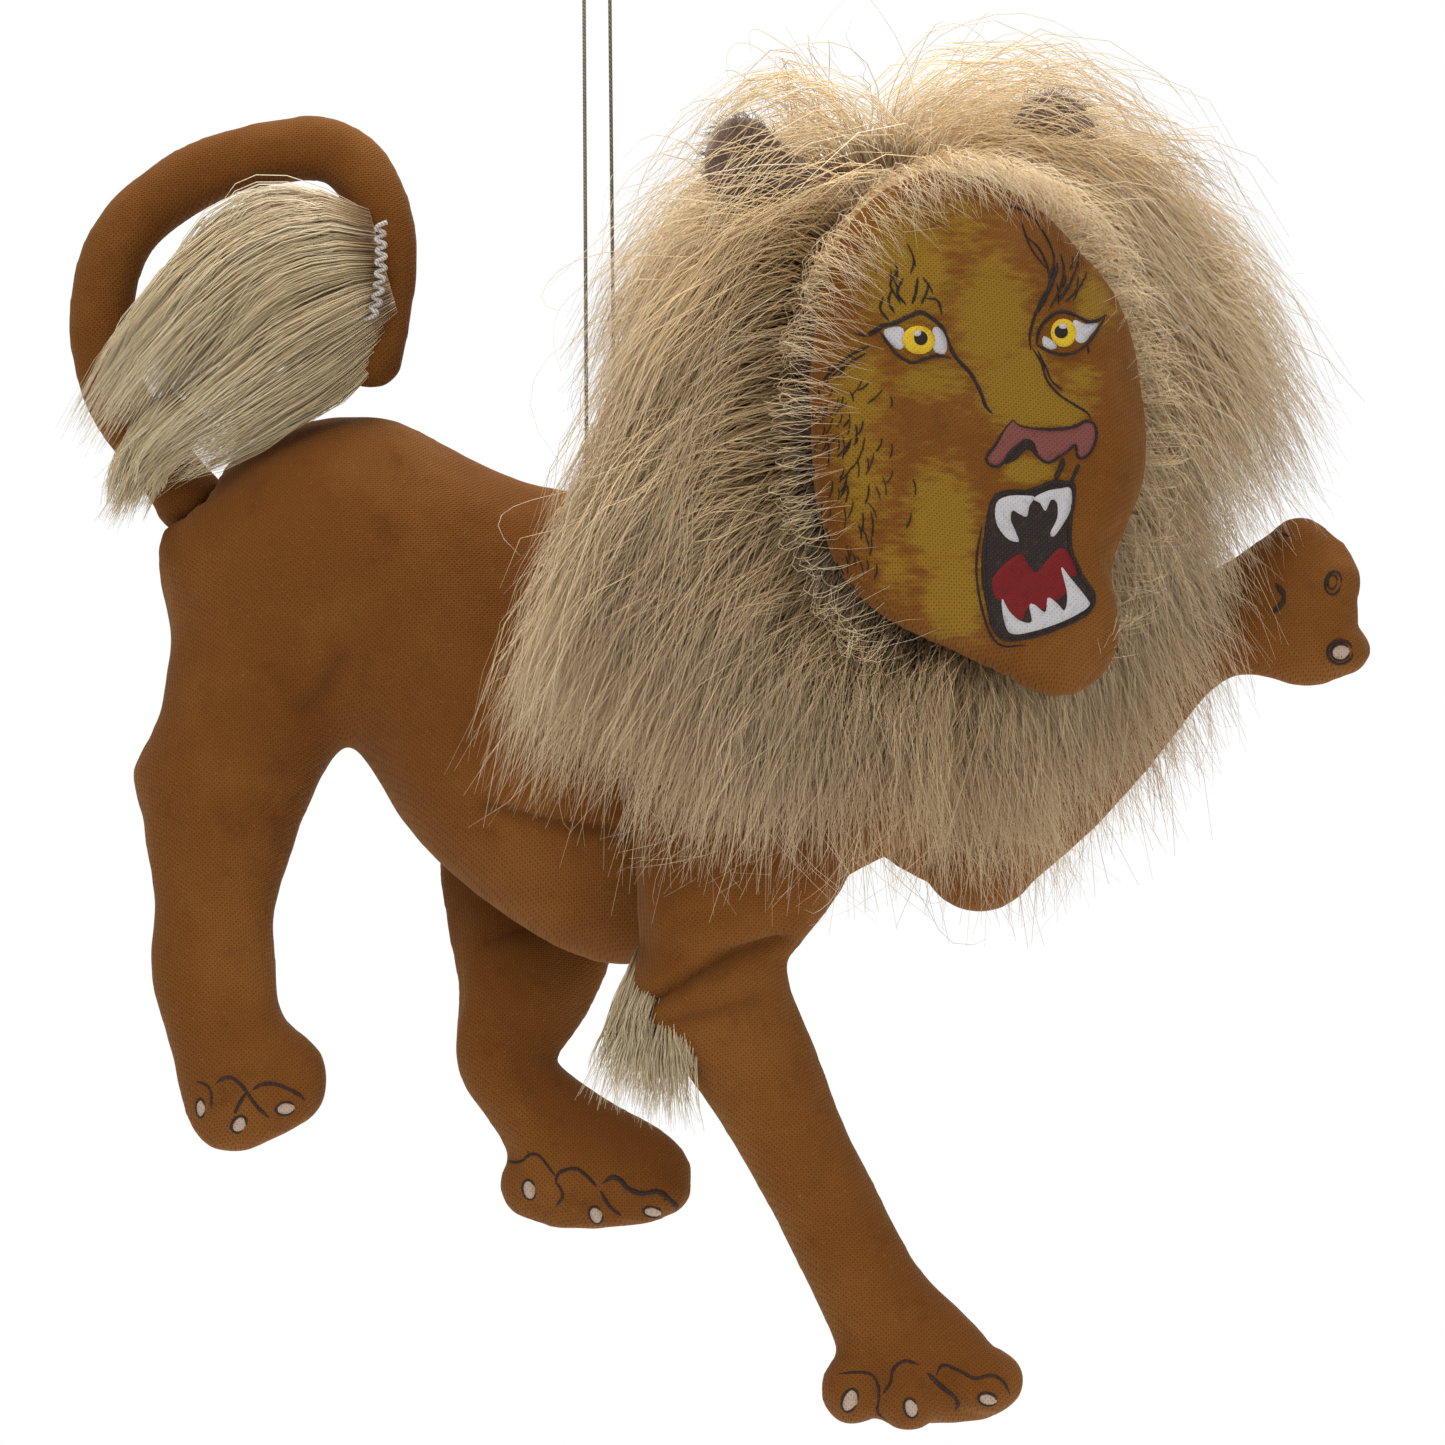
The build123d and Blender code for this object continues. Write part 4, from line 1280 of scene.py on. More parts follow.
    def clear_of_body(self, tip: np.ndarray, rng: np.random.Generator) -> np.ndarray:
        """Keep the low tips beside the shoulders and not inside them.

        Args:
            tip: the tips.
            rng: the random source.

        Returns:
            The tips, moved to the near or the far side.
        """
        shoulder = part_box("ruff_pile")[1][2]
        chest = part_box("torso_skin")[1][0]
        low = (tip[:, 2] < shoulder) & (tip[:, 0] < chest)
        near = tip[:, 1] < 1 * MM
        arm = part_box("right_upper_arm_skin")
        beside_arm = (tip[:, 0] > arm[0][0] - 3 * MM) & (tip[:, 2] < -80 * MM)
        side = np.where(beside_arm, arm[0][1] - 2.0 * MM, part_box("torso_skin")[0][1] - 3.5 * MM)
        side = side - rng.uniform(0, 4 * MM, len(tip))
        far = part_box("left_upper_arm_skin")[1][1] + rng.uniform(1 * MM, 4 * MM, len(tip))
        tip[:, 1] = np.where(low & near, np.minimum(tip[:, 1], side), tip[:, 1])
        tip[:, 1] = np.where(low & ~near, np.maximum(tip[:, 1], far), tip[:, 1])
        tip[:, 1] = np.minimum(
            tip[:, 1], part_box("mane_pile")[1][1] + rng.uniform(0, 4 * MM, len(tip)),
        )
        return tip

    def build(self, finish: Finishes, cloth: list[bpy.types.Object]) -> None:
        """Make every region of the mane and its stray hairs.

        Args:
            finish: the materials.
            cloth: the pieces that the hair lies over.
        """
        trees = [tree_of(piece) for piece in cloth]
        for number, lock in enumerate(Lock):
            lines, tone, warm, width = self.grow(lock, number)
            lines = keep_off(lines, trees, 0.8 * MM, -58 * MM)
            piece = Coat("mane_" + lock.name.lower()).spin(lines, tone, warm, width, finish.mane)
            self.attach(piece, number == 0)
        self.strays(finish)
        self.fringe(finish)

    def attach(self, piece: bpy.types.Object, first: bool) -> None:
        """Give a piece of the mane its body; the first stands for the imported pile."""
        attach(piece, Body.HEAD.value)
        if first:
            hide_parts("mane_pile")

    def fringe(self, finish: Finishes) -> None:
        """Comb fine hair over the edge of the face, most of it on the forehead.

        Args:
            finish: the materials.
        """
        rng = np.random.default_rng(self.seed + 200)
        top = rng.normal(95, 30, FOREHEAD_HAIRS)
        sides = rng.uniform(-60, 245, SIDE_HAIRS)
        angle = np.radians(np.concatenate([top, sides]))
        count = len(angle)
        radial = outward(angle)
        wide, high = np.cos(angle) / FACE_HALF_WIDTH, np.sin(angle) / FACE_HALF_HEIGHT
        edge = 1 / np.sqrt(wide**2 + high**2) * MM
        centre = np.array(FACE_MIDDLE)
        looks = np.array(LOOKS)

        def at(out: np.ndarray, ahead: float) -> np.ndarray:
            """Give places beyond or within the face's edge, some way ahead of its middle."""
            scatter = rng.normal(0, 0.9 * MM, (count, 3))
            return centre + radial * (edge + out * MM)[:, None] + looks * ahead * MM + scatter

        over = rng.uniform(-4.5, 0.5, count) * np.clip(np.sin(angle) + 0.6, 0.25, 1)
        lines = flow(
            at(np.full(count, -5.0), -9.0), at(rng.uniform(2, 6, count), -8.0),
            at(rng.uniform(1.5, 4, count), 3.5), at(over, 6.2),
        )
        side = np.sign(np.cos(angle) + rng.normal(0, 0.3, count))
        along = (np.linspace(0, 1, lines.shape[1]) ** 2)[None, :]
        lines[:, :, 0] += side[:, None] * along * rng.uniform(0, 4 * MM, count)[:, None]
        lines = crimp(
            lines, rng, rng.uniform(0.2, 0.7, count) * MM, rng.uniform(0, 6, count),
            rng.uniform(0.8, 1.8, count),
        )
        tone = rng.uniform(0.35, 1.0, count)
        warm = np.clip(0.5 + 0.5 * np.sin(angle), 0, 1)
        piece = Coat("mane_fringe", FINE_FIBRE).spin(
            lines, tone, warm, rng.uniform(0.6, 1.1, count), finish.mane,
        )
        self.attach(piece, False)

    def strays(self, finish: Finishes) -> None:
        """Add loose single hairs that stand away from the rest.

        Args:
            finish: the materials.
        """
        rng = np.random.default_rng(self.seed + 100)
        count = STRAY_HAIRS
        angle = rng.uniform(0, 2 * math.pi, count)
        ahead = rng.uniform(-0.6, 0.6, count)
        radial = outward(angle)
        root, _ = self.roots(ahead, radial)
        tip_angle = angle - np.sign(np.cos(angle)) * rng.uniform(0, 0.9, count)
        length = self.reach(np.degrees(tip_angle)) * rng.uniform(0.95, 1.12, count)
        tip = self.tips(tip_angle, length, rng.uniform(0, 18 * MM, count), rng)
        loose = rng.normal(0, 5 * MM, (count, 3))
        lines = flow(
            root, root + radial * 0.014 + loose * 0.5,
            (root * 0.3 + tip * 0.7) + radial * 0.004 + loose, tip, 12,
        )
        lines = crimp(
            lines, rng, rng.uniform(0.3, 1.2, count) * MM, rng.uniform(0, 6, count),
            rng.uniform(0.8, 2.5, count),
        )
        tone = rng.uniform(0.5, 1.0, count)
        piece = Coat("mane_stray_hairs", FINE_FIBRE).spin(
            lines, tone, rng.uniform(0.2, 0.8, count), rng.uniform(0.7, 1.1, count), finish.mane,
        )
        self.attach(piece, False)


@dataclass
class Tuft:
    """A bunch of pile sewn on at one place that flows to a point."""

    name: str
    body: Body
    stands_for: str
    root: tuple[Vector, Vector]
    belly: tuple[Vector, Vector]
    tip: tuple[Vector, Vector]
    depth: float
    clumps: int
    each: int
    seed: int
    warm: float = 0.5
    wave: float = 0.5 * MM

    def build(self, material: bpy.types.Material) -> bpy.types.Object:
        """Make the tuft.

        Args:
            material: the pile's material.

        Returns:
            The finished piece.
        """
        rng = np.random.default_rng(self.seed)
        pick = np.repeat(np.arange(self.clumps), self.each)
        count = len(pick)
        clump_u = rng.uniform(0, 1, self.clumps)
        u = np.clip(clump_u[pick] + rng.normal(0, 0.05, count), 0, 1)
        w = rng.uniform(-1, 1, self.clumps)[pick] + rng.normal(0, 0.15, count)
        round_off = np.sqrt(np.clip(1 - (2 * u - 1) ** 2, 0.05, 1))
        share = rng.uniform(0.45, 1.0, self.clumps)[pick] * (1 + rng.normal(0, 0.04, count))

        def row(pair: tuple[Vector, Vector], place: np.ndarray, thick: float) -> np.ndarray:
            """Spread the fibres between a pair of places and give them their depth."""
            line = np.array(pair[0]) * (1 - place[:, None]) + np.array(pair[1]) * place[:, None]
            line[:, 1] += w * round_off * self.depth * thick
            return line

        start = row(self.root, u, 0.45)
        bulge = row(self.belly, u, 1.1)
        end = row(self.tip, np.clip(u + rng.normal(0, 0.12, count), -0.1, 1.1), 0.6)
        end = start + (end - start) * share[:, None] + (
            bulge - (start + end) / 2
        ) * (1 - share[:, None]) * 0.8
        lines = flow(start, start * 0.45 + bulge * 0.55, bulge * 0.45 + end * 0.55, end)
        lines = crimp(
            lines, rng, rng.uniform(0.4, 1.2, count) * self.wave, rng.uniform(
                0, 6.28, self.clumps,
            )[pick],
            rng.uniform(0.8, 1.5, self.clumps)[pick],
        )
        tone = np.clip(
            0.25 + 0.5 * rng.uniform(
                0, 1, self.clumps,
            )[pick] - 0.25 * (u - 0.5) + rng.normal(0, 0.15, count),
            0, 1,
        )
        warm = np.clip(self.warm + rng.normal(0, 0.2, count), 0, 1)
        piece = Coat(self.name).spin(lines, tone, warm, rng.uniform(0.6, 1.1, count), material)
        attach(piece, self.body.value)
        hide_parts(self.stands_for)
        return piece


@dataclass
class Nap:
    """Short fibres that stand all over a surface and lean one way."""

    name: str
    body: Body
    count: int
    length: float
    lean: Vector
    seed: int
    thickness: float = 0.06 * MM
    tone: Pair = (0.3, 0.9)
    warm: Pair = (0.2, 0.7)
    facing: Vector | None = None

    def build(
        self, ground: bpy.types.Mesh, material: bpy.types.Material, slot: str,
    ) -> bpy.types.Object:
        """Grow the nap on a mesh.

        Args:
            ground: the mesh that it grows on.
            material: the fibres' material.
            slot: the record's material slot; not used.

        Returns:
            The finished piece.
        """
        rng = np.random.default_rng(self.seed)
        form = bmesh.new()
        form.from_mesh(ground)
        bmesh.ops.triangulate(form, faces=form.faces)
        areas = np.array([face.calc_area() for face in form.faces])
        if self.facing is not None:
            areas *= np.array(
                [max(face.normal.dot(self.facing) - 0.35, 0.0) for face in form.faces]
            )
        chosen = rng.choice(len(areas), self.count, p=areas / areas.sum())
        form.faces.ensure_lookup_table()
        starts, normals = [], []
        for index in chosen:
            a, b, c = (vert.co for vert in form.faces[index].verts)
            s, t = sorted(rng.uniform(0, 1, 2))
            starts.append(a * s + b * (t - s) + c * (1 - t))
            normals.append(form.faces[index].normal.copy())
        form.free()
        start = np.array(starts)
        normal = np.array(normals)
        length = self.length * rng.uniform(0.5, 1.1, self.count)[:, None]
        swirl = unit(rng.normal(size=(self.count, 3)))
        end = start + unit(normal * 0.7 + np.array(self.lean) + swirl * 0.35) * length
        lines = flow(
            start, start + normal * length * 0.4, (start + end) / 2 + swirl * length * 0.12, end, 5,
        )
        piece = Coat(self.name, self.thickness).spin(
            lines, rng.uniform(*self.tone, self.count), rng.uniform(*self.warm, self.count),
            rng.uniform(0.6, 1.1, self.count), material,
        )
        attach(piece, self.body.value)
        return piece


# ---------------------------------------------------------------- drawing on cloth
@dataclass
class Brush:
    """Draws lines and patches on a finished piece, from one side of it."""

    target: bpy.types.Object
    origin: Vector
    right: Vector
    up: Vector
    toward: Vector

    def __post_init__(self) -> None:
        """Make the search tree of the surface."""
        self.tree = tree_of(self.target)

    def drop(self, across: float, above: float, lift: float) -> Vector:
        """Find a point just over the cloth.

        Args:
            across: place to the right of the origin, in millimetres.
            above: place over the origin, in millimetres.
            lift: height over the cloth, in metres.

        Returns:
            The point, in metres.
        """
        flat = self.origin + self.right * across * MM + self.up * above * MM
        spot, normal, _, _ = self.tree.ray_cast(flat + self.toward * 0.06, -self.toward, 0.12)
        if spot is None:
            spot, normal, _, _ = self.tree.find_nearest(flat)
        return spot + normal * lift

    def lines(
        self, name: str, strokes: tuple, material: bpy.types.Material, width: float,
        lift: float = 0.03 * MM,
    ) -> bpy.types.Object:
        """Draw strokes with tapered ends as one piece.

        Args:
            name: the piece's name.
            strokes: each stroke is its points, in millimetres, with its own width share first.
            material: the ink.
            width: a stroke's full width, in metres.
            lift: how far its middle stands over the cloth, in metres.

        Returns:
            The piece.
        """
        curve = bpy.data.curves.new(name, "CURVE")
        curve.dimensions = "3D"
        curve.bevel_depth = width / 2
        curve.bevel_resolution = 1
        curve.use_fill_caps = True
        for share, *points in strokes:
            drawn = smooth_line(points)
            spline = curve.splines.new("POLY")
            spline.points.add(len(drawn) - 1)
            for number, (row, point) in enumerate(zip(drawn, spline.points)):
                place = number / (len(drawn) - 1)
                point.co = (*self.drop(row[0], row[1], lift - 0.25 * width * share), 1.0)
                uneven = 1 + 0.25 * noise.noise(Vector((row[0] * 2.1, row[1] * 2.1, share)))
                point.radius = share * uneven * min(1.0, 0.35 + 5 * min(place, 1 - place))
        holder = bpy.data.objects.new(name, curve)
        bpy.context.scene.collection.objects.link(holder)
        graph = bpy.context.evaluated_depsgraph_get()
        mesh = bpy.data.meshes.new_from_object(holder.evaluated_get(graph))
        bpy.data.objects.remove(holder)
        bpy.data.curves.remove(curve)
        mesh.shade_smooth()
        return new_object(name, mesh, material)

    def patches(
        self, name: str, outlines: tuple, material: bpy.types.Material, lift: float,
    ) -> bpy.types.Object:
        """Fill closed outlines as one thin piece that follows the cloth.

        Args:
            name: the piece's name.
            outlines: each outline is its points, in millimetres.
            material: the paint.
            lift: how far it stands over the cloth, in metres.

        Returns:
            The piece.
        """
        form = bmesh.new()
        for outline in outlines:
            drawn = smooth_line(outline, closed=True)
            verts = [form.verts.new((row[0], row[1], 0.0)) for row in drawn]
            form.faces.new(verts)
        bmesh.ops.triangulate(form, faces=form.faces)
        for _ in range(5):
            long = [edge for edge in form.edges if edge.calc_length() > 0.9]
            if not long:
                break
            bmesh.ops.subdivide_edges(form, edges=long, cuts=1)
            bmesh.ops.triangulate(form, faces=form.faces)
        for vert in form.verts:
            vert.co = self.drop(vert.co.x, vert.co.y, lift)
        form.normal_update()
        for face in form.faces:
            if face.normal.dot(self.toward) < 0:
                face.normal_flip()
        bmesh.ops.solidify(form, geom=list(form.faces), thickness=0.12 * MM)
        bmesh.ops.recalc_face_normals(form, faces=form.faces)
        return from_bmesh(name, form, material)


def oval(
    across: float, above: float, wide: float, high: float, turn: float = 0.0,
) -> tuple[Pair, ...]:
    """Give the outline of an oval.

    Args:
        across: its middle, to the right, in millimetres.
        above: its middle, upwards, in millimetres.
        wide: its half width.
        high: its half height.
        turn: degrees that it is turned.

    Returns:
        The outline's points.
    """
    spin = math.radians(turn)
    points = []
    for number in range(10):
        angle = 2 * math.pi * number / 10
        u, v = wide * math.cos(angle), high * math.sin(angle)
        points.append(
            (
                across + u * math.cos(spin) - v * math.sin(spin),
                above + u * math.sin(spin) + v * math.cos(spin),
            )
        )
    return tuple(points)


def ring(
    share: float, across: float, above: float, wide: float, high: float, turn: float = 0.0,
) -> tuple:
    """Give a stroke that goes round an oval."""
    points = oval(across, above, wide, high, turn)
    return (share, *points, points[0])


@dataclass
class PawMarks:
    """Inked toes and pale claws on one paw, in millimetres in side view."""

    name: str
    body: Body
    strokes: tuple
    claws: tuple

    def build(self, cloth: bpy.types.Object, finish: Finishes) -> None:
        """Draw the toes and paint the claws.

        Args:
            cloth: the leg that carries the paw.
            finish: the materials.
        """
        brush = Brush(cloth, Vector((0, 0, 0)), Vector((1, 0, 0)), UP, Vector((0, -1, 0)))
        rings = tuple(ring(0.7, *claw) for claw in self.claws)
        ink = brush.lines(self.name + "_ink", self.strokes + rings, finish.toe_ink, TOE_LINE)
        claws = brush.patches(
            self.name + "_claws", tuple(oval(*claw) for claw in self.claws), finish.claw, 0.04 * MM
        )
        for piece in (ink, claws):
            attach(piece, self.body.value)


PAW_MARKS = (
    PawMarks(
        "right_forepaw",
        Body.RIGHT_FOREARM,
        (
            (
                0.7, (25.9, -151.6), (27.8, -151.4), (29.5, -151.6), (30.3, -152.8), (30.4, -154.2),
                (30.3, -155.8), (31.3, -156.8),
            ),
            (0.8, (30.7, -153.9), (31.6, -152.6), (32.0, -151.0), (33.2, -150.2), (34.8, -150.6)),
            (1.3, (35.4, -151.3), (36.9, -152.8), (38.3, -153.9), (38.9, -154.8), (38.6, -155.8)),
            (
                0.8, (36.4, -152.0), (37.2, -150.7), (38.9, -151.2), (40.6, -152.0), (42.4, -151.7),
                (43.7, -152.4), (44.5, -154.0),
            ),
        ),
        (
            (27.3, -154.4, 0.8, 1.3, -20), (33.8, -155.2, 0.7, 1.1, 15),
            (42.0, -154.3, 1.0, 0.7, -15),
        ),
    ),
    PawMarks(
        "left_hindpaw",
        Body.LEFT_HIND_LEG,
        (
            (
                0.7, (-10.8, -130.2), (-8.6, -130.2), (-7.4, -129.3), (-6.4, -129.4),
                (-5.6, -130.3), (-4.5, -131.8),
            ),
            (0.9, (-4.6, -132.6), (-4.2, -131.3), (-2.5, -130.8), (-1.3, -131.5), (0.0, -132.9)),
            (0.9, (-4.5, -132.3), (-3.8, -133.7), (-4.5, -135.0)),
            (
                1.3, (0.3, -132.7), (1.5, -131.8), (2.5, -132.1), (3.3, -133.0), (4.8, -133.6),
                (6.7, -133.4), (8.0, -134.4), (8.8, -135.5), (8.2, -136.8),
            ),
            (1.0, (0.3, -133.2), (1.3, -135.0), (2.7, -136.2)),
        ),
        ((-7.5, -133.2, 0.7, 1.1, 10), (-0.2, -136.0, 0.7, 1.0, 20), (6.0, -135.7, 1.0, 0.6, -10)),
    ),
    PawMarks(
        "right_hindpaw",
        Body.RIGHT_HIND_LEG,
        (
            (0.6, (-43.1, -120.7), (-42.0, -121.0), (-41.4, -121.8), (-41.4, -123.7)),
            (
                0.9, (-41.0, -121.0), (-40.2, -120.4), (-39.2, -120.2), (-38.2, -120.9),
                (-37.3, -122.1), (-36.3, -123.5), (-35.0, -124.7),
            ),
            (
                0.9, (-37.1, -121.7), (-36.0, -121.0), (-34.6, -120.9), (-33.0, -121.5),
                (-31.8, -122.2), (-31.2, -122.9),
            ),
            (0.8, (-37.6, -121.8), (-38.4, -123.2), (-38.9, -124.2)),
        ),
        (
            (-42.6, -123.6, 0.5, 1.0, 0), (-38.4, -125.3, 0.7, 1.0, -35),
            (-33.4, -123.6, 1.0, 0.7, 10),
        ),
    ),
    PawMarks(
        "left_forepaw",
        Body.LEFT_FOREARM,
        (
            ring(0.7, 80.6, -66.7, 0.9, 1.3, -10),
            ring(0.6, 80.5, -66.6, 0.5, 0.8, -10),
            ring(0.9, 81.4, -74.3, 1.4, 1.3, 10),
            (1.5, (74.2, -66.6), (75.2, -68.4), (73.9, -70.1)),
            (0.7, (74.0, -61.0), (75.0, -61.2), (76.0, -61.6)),
        ),
        ((81.4, -74.3, 1.0, 0.9, 10),),
    ),
)


# ---------------------------------------------------------------- legs and trunk
def lump(x: float, y: float, z: float, wide: float, deep: float, high: float) -> Plug:
    """Give a lump of stuffing from its place and half sizes in millimetres."""
    return Plug(Vector((x, y, z)) * MM, Vector((wide, deep, high)) * MM)


def elbow_plug(place: Vector, y: float, wide: float, deep: float) -> Plug:
    """Give the stuffing that runs through a fold, at a joint."""
    return Plug(Vector((place.x, y * MM, place.z)), Vector((wide, deep, wide)) * MM)


@dataclass
class Trunk:
    """Barrel, haunch and near hind leg, which are one bag of cloth."""

    def build(self, finish: Finishes) -> bpy.types.Object:
        """Make the bag.

        Args:
            finish: the materials.

        Returns:
            The finished piece.
        """
        hip, far = RIGHT_HIP / MM, LEFT_HIP / MM
        piece = StuffedForm(
            "trunk_and_right_hind_leg",
            ("torso_filling", "right_hind_leg_filling"),
            ("torso_skin", "right_hind_leg_skin"),
            plugs=(
                elbow_plug(RIGHT_HIP, -1.6, 9.4, 8.6),
                lump(hip.x + 4.5, -0.5, hip.z + 3.0, 8.6, 8.8, 8.6),
                lump(far.x, 12.0, far.z, 1.6, 5.0, 1.6),
                lump(-41.8, -1.8, -78.2, 6.2, 8.4, 6.6),
                lump(-42.2, -5.6, -122.6, 2.4, 3.4, 3.6),
                lump(-38.0, -6.2, -123.6, 2.6, 3.4, 3.6),
                lump(-32.8, -6.0, -121.4, 3.0, 3.6, 2.9),
            ),
            creases=(
                Crease(((-11.5, -91.0), (-5.5, -92.6), (0.5, -93.4), (3.5, -94.2)), 1.6, 0.9),
                Crease(((-31.5, -80.5), (-29.5, -78.5), (-27.5, -75.0)), 3.0, 0.22),
            ),
            eased=((-28.0, -85.5, 9.0), (-46.5, -76.0, 11.0)),
            seam_share=0.075,
        ).build(finish.cotton)
        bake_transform(piece)
        return piece


@dataclass
class NearForeleg:
    """Near upper arm and forearm, one bag with a deep fold at the elbow."""

    def build(self, finish: Finishes) -> bpy.types.Object:
        """Make the bag.

        Args:
            finish: the materials.

        Returns:
            The finished piece.
        """
        elbow = RIGHT_ELBOW / MM
        piece = StuffedForm(
            "right_foreleg",
            ("right_upper_arm_filling", "right_forearm_filling"),
            ("right_upper_arm_skin", "right_forearm_skin"),
            plugs=(
                elbow_plug(RIGHT_ELBOW, -14.2, 8.7, 6.6),
                lump(elbow.x + 1.0, -14.5, elbow.z + 6.5, 8.6, 6.8, 5.0),
                lump(27.6, -14.0, -153.4, 3.2, 3.9, 3.8),
                lump(33.6, -14.2, -154.2, 3.4, 4.0, 3.6),
                lump(41.6, -14.0, -152.6, 4.2, 3.9, 3.4),
            ),
            creases=(
                Crease(
                    ((4.5, -112.6), (8.5, -110.2), (12.4, -107.8), (16.0, -106.4), (20.0, -105.6)),
                    1.9, 1.6,
                ),
                Crease(((3.6, -94.5), (3.9, -100.0), (4.8, -106.0)), 2.0, 0.9),
                Crease(((8.0, -114.0), (12.0, -113.0), (17.0, -111.5)), 2.4, 0.3),
            ),
            seam_share=0.12,
            seed=3.0,
        ).build(finish.cotton)
        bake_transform(piece)
        return piece


@dataclass
class FarForeleg:
    """Far upper arm and raised forearm, one bag that bends at the elbow."""

    def build(self, finish: Finishes) -> bpy.types.Object:
        """Make the bag.

        Args:
            finish: the materials.

        Returns:
            The finished piece.
        """
        elbow = LEFT_ELBOW / MM
        piece = StuffedForm(
            "left_foreleg",
            ("left_upper_arm_filling", "left_forearm_filling"),
            ("left_upper_arm_skin", "left_forearm_skin"),
            plugs=(
                elbow_plug(LEFT_ELBOW, 12.4, 6.7, 5.6),
                lump(elbow.x - 3.4, 12.6, elbow.z + 2.6, 5.8, 5.4, 5.6),
                lump(77.0, 9.0, -62.2, 3.0, 3.6, 2.6),
                lump(80.6, 9.0, -66.2, 3.0, 3.8, 3.0),
                lump(81.6, 9.0, -73.8, 3.4, 3.8, 2.8),
                lump(81.0, 9.0, -70.0, 2.6, 3.6, 2.6),
            ),
            creases=(Crease(((38.0, -92.0), (42.0, -95.0), (45.0, -99.0)), 2.0, 0.6),),
            seam_share=0.13,
            voxel=0.75 * MM,
            seed=7.0,
        ).build(finish.cotton)
        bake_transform(piece)
        return piece


@dataclass
class FarHindLeg:
    """Far hind leg, its own bag, tied on through the barrel."""

    def build(self, finish: Finishes) -> bpy.types.Object:
        """Make the leg.

        Args:
            finish: the materials.

        Returns:
            The finished piece.
        """
        piece = StuffedForm(
            "left_hind_leg_cloth",
            ("left_hind_leg_filling",),
            ("left_hind_leg_skin",),
            plugs=(
                lump(-7.8, 9.4, -132.8, 2.9, 3.6, 3.6),
                lump(-0.6, 9.2, -134.4, 3.2, 3.8, 3.4),
                lump(6.6, 9.2, -133.6, 3.4, 3.8, 2.8),
            ),
            creases=(Crease(((-12.0, -106.0), (-8.0, -104.5), (-4.0, -104.0)), 2.4, 0.3),),
            seam_share=0.12,
            voxel=0.75 * MM,
            seed=5.0,
        ).build(finish.cotton)
        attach(piece, Body.LEFT_HIND_LEG.value)
        return piece


@dataclass
class Tail:
    """Curled tail on its wire, with the tuft sewn on near the end."""

    def build(self, finish: Finishes) -> None:
        """Make the tail's cloth, its stitches and its tuft.

        Args:
            finish: the materials.
        """
        cloth = StuffedForm(
            "tail_cloth",
            ("tail_filling",),
            ("tail_skin", "tail_tuft_backing"),
            swell=0.35 * MM,
            voxel=0.75 * MM,
            seam_share=0.16,
            seed=9.0,
        ).build(finish.cotton)
        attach(cloth, Body.TAIL.value)
        self.stitches(finish)
        Tuft(
            "tail_tuft_hair",
            Body.TAIL,
            "tail_tuft",
            (Vector((-24.6, -3.4, -26.4)) * MM, Vector((-21.0, -2.0, -39.4)) * MM),
            (Vector((-43.6, -7.4, -15.2)) * MM, Vector((-28.4, -7.4, -51.0)) * MM),
            (Vector((-56.4, -7.4, -50.4)) * MM, Vector((-46.6, -7.2, -56.2)) * MM),
            6.4 * MM,
            140,
            25,
            31,
        ).build(finish.tuft)
        Tuft(
            "tail_tuft_wisp",
            Body.TAIL,
            "tail_tuft",
            (Vector((-46.0, -8.0, -46.0)) * MM, Vector((-41.0, -8.0, -50.0)) * MM),
            (Vector((-52.5, -7.8, -52.0)) * MM, Vector((-47.5, -7.6, -54.0)) * MM),
            (Vector((-54.5, -7.2, -59.5)) * MM, Vector((-50.0, -7.0, -62.5)) * MM),
            2.6 * MM,
            40,
            18,
            32,
        ).build(finish.tuft)

    def stitches(self, finish: Finishes) -> None:
        """Sew the tuft on with a zigzag of doubled thread.

        Args:
            finish: the materials.
        """
        low, high = (Vector(corner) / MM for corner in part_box("tail_tuft_stitches"))
        curve = bpy.data.curves.new("tuft_zigzag", "CURVE")
        curve.dimensions = "3D"
        curve.bevel_depth = 0.26 * MM
        curve.bevel_resolution = 2
        curve.use_fill_caps = True
        spline = curve.splines.new("NURBS")
        turns = 17
        spline.points.add(turns)
        for number, point in enumerate(spline.points):
            place = number / turns
            swing = 0.95 if number % 2 else -0.95
            x = (low.x + high.x) / 2 + swing + 0.9 * math.sin(2.4 * place)
            y = low.y + 0.1 - (0.55 if number % 3 else 0.0)
            point.co = (x * MM, y * MM, (low.z + (high.z - low.z) * place) * MM, 1.0)
        spline.order_u = 3
        spline.use_endpoint_u = True
        piece = bpy.data.objects.new("tuft_zigzag", curve)
        bpy.context.scene.collection.objects.link(piece)
        curve.materials.append(finish.stitch)
        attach(piece, Body.TAIL.value)
        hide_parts("tail_tuft_stitches")


# ---------------------------------------------------------------- head
OCHRE_PATCHES = (
    (-9.0, 18.0, 6.5, 7.5, 0.85), (-2.0, 23.0, 5.0, 5.0, 0.5), (1.5, 13.0, 5.0, 7.0, 0.85),
    (4.5, 5.5, 4.5, 5.0, 1.0), (9.0, 3.2, 4.0, 1.9, 1.1), (-15.0, 4.5, 4.5, 5.5, 0.85),
    (-15.0, -4.0, 5.0, 8.0, 0.7), (-5.5, 6.0, 5.5, 2.6, 0.6), (-4.5, -9.0, 4.2, 6.0, 1.0),
    (-3.0, -17.0, 3.8, 6.0, 1.0), (6.0, -3.4, 3.4, 1.4, 1.0), (14.0, 15.0, 3.0, 3.2, 0.8),
    (12.0, 6.5, 3.0, 2.0, 0.55), (-11.0, 24.0, 4.0, 3.0, 0.5), (-10.0, -14.0, 4.0, 5.0, 0.45),
)

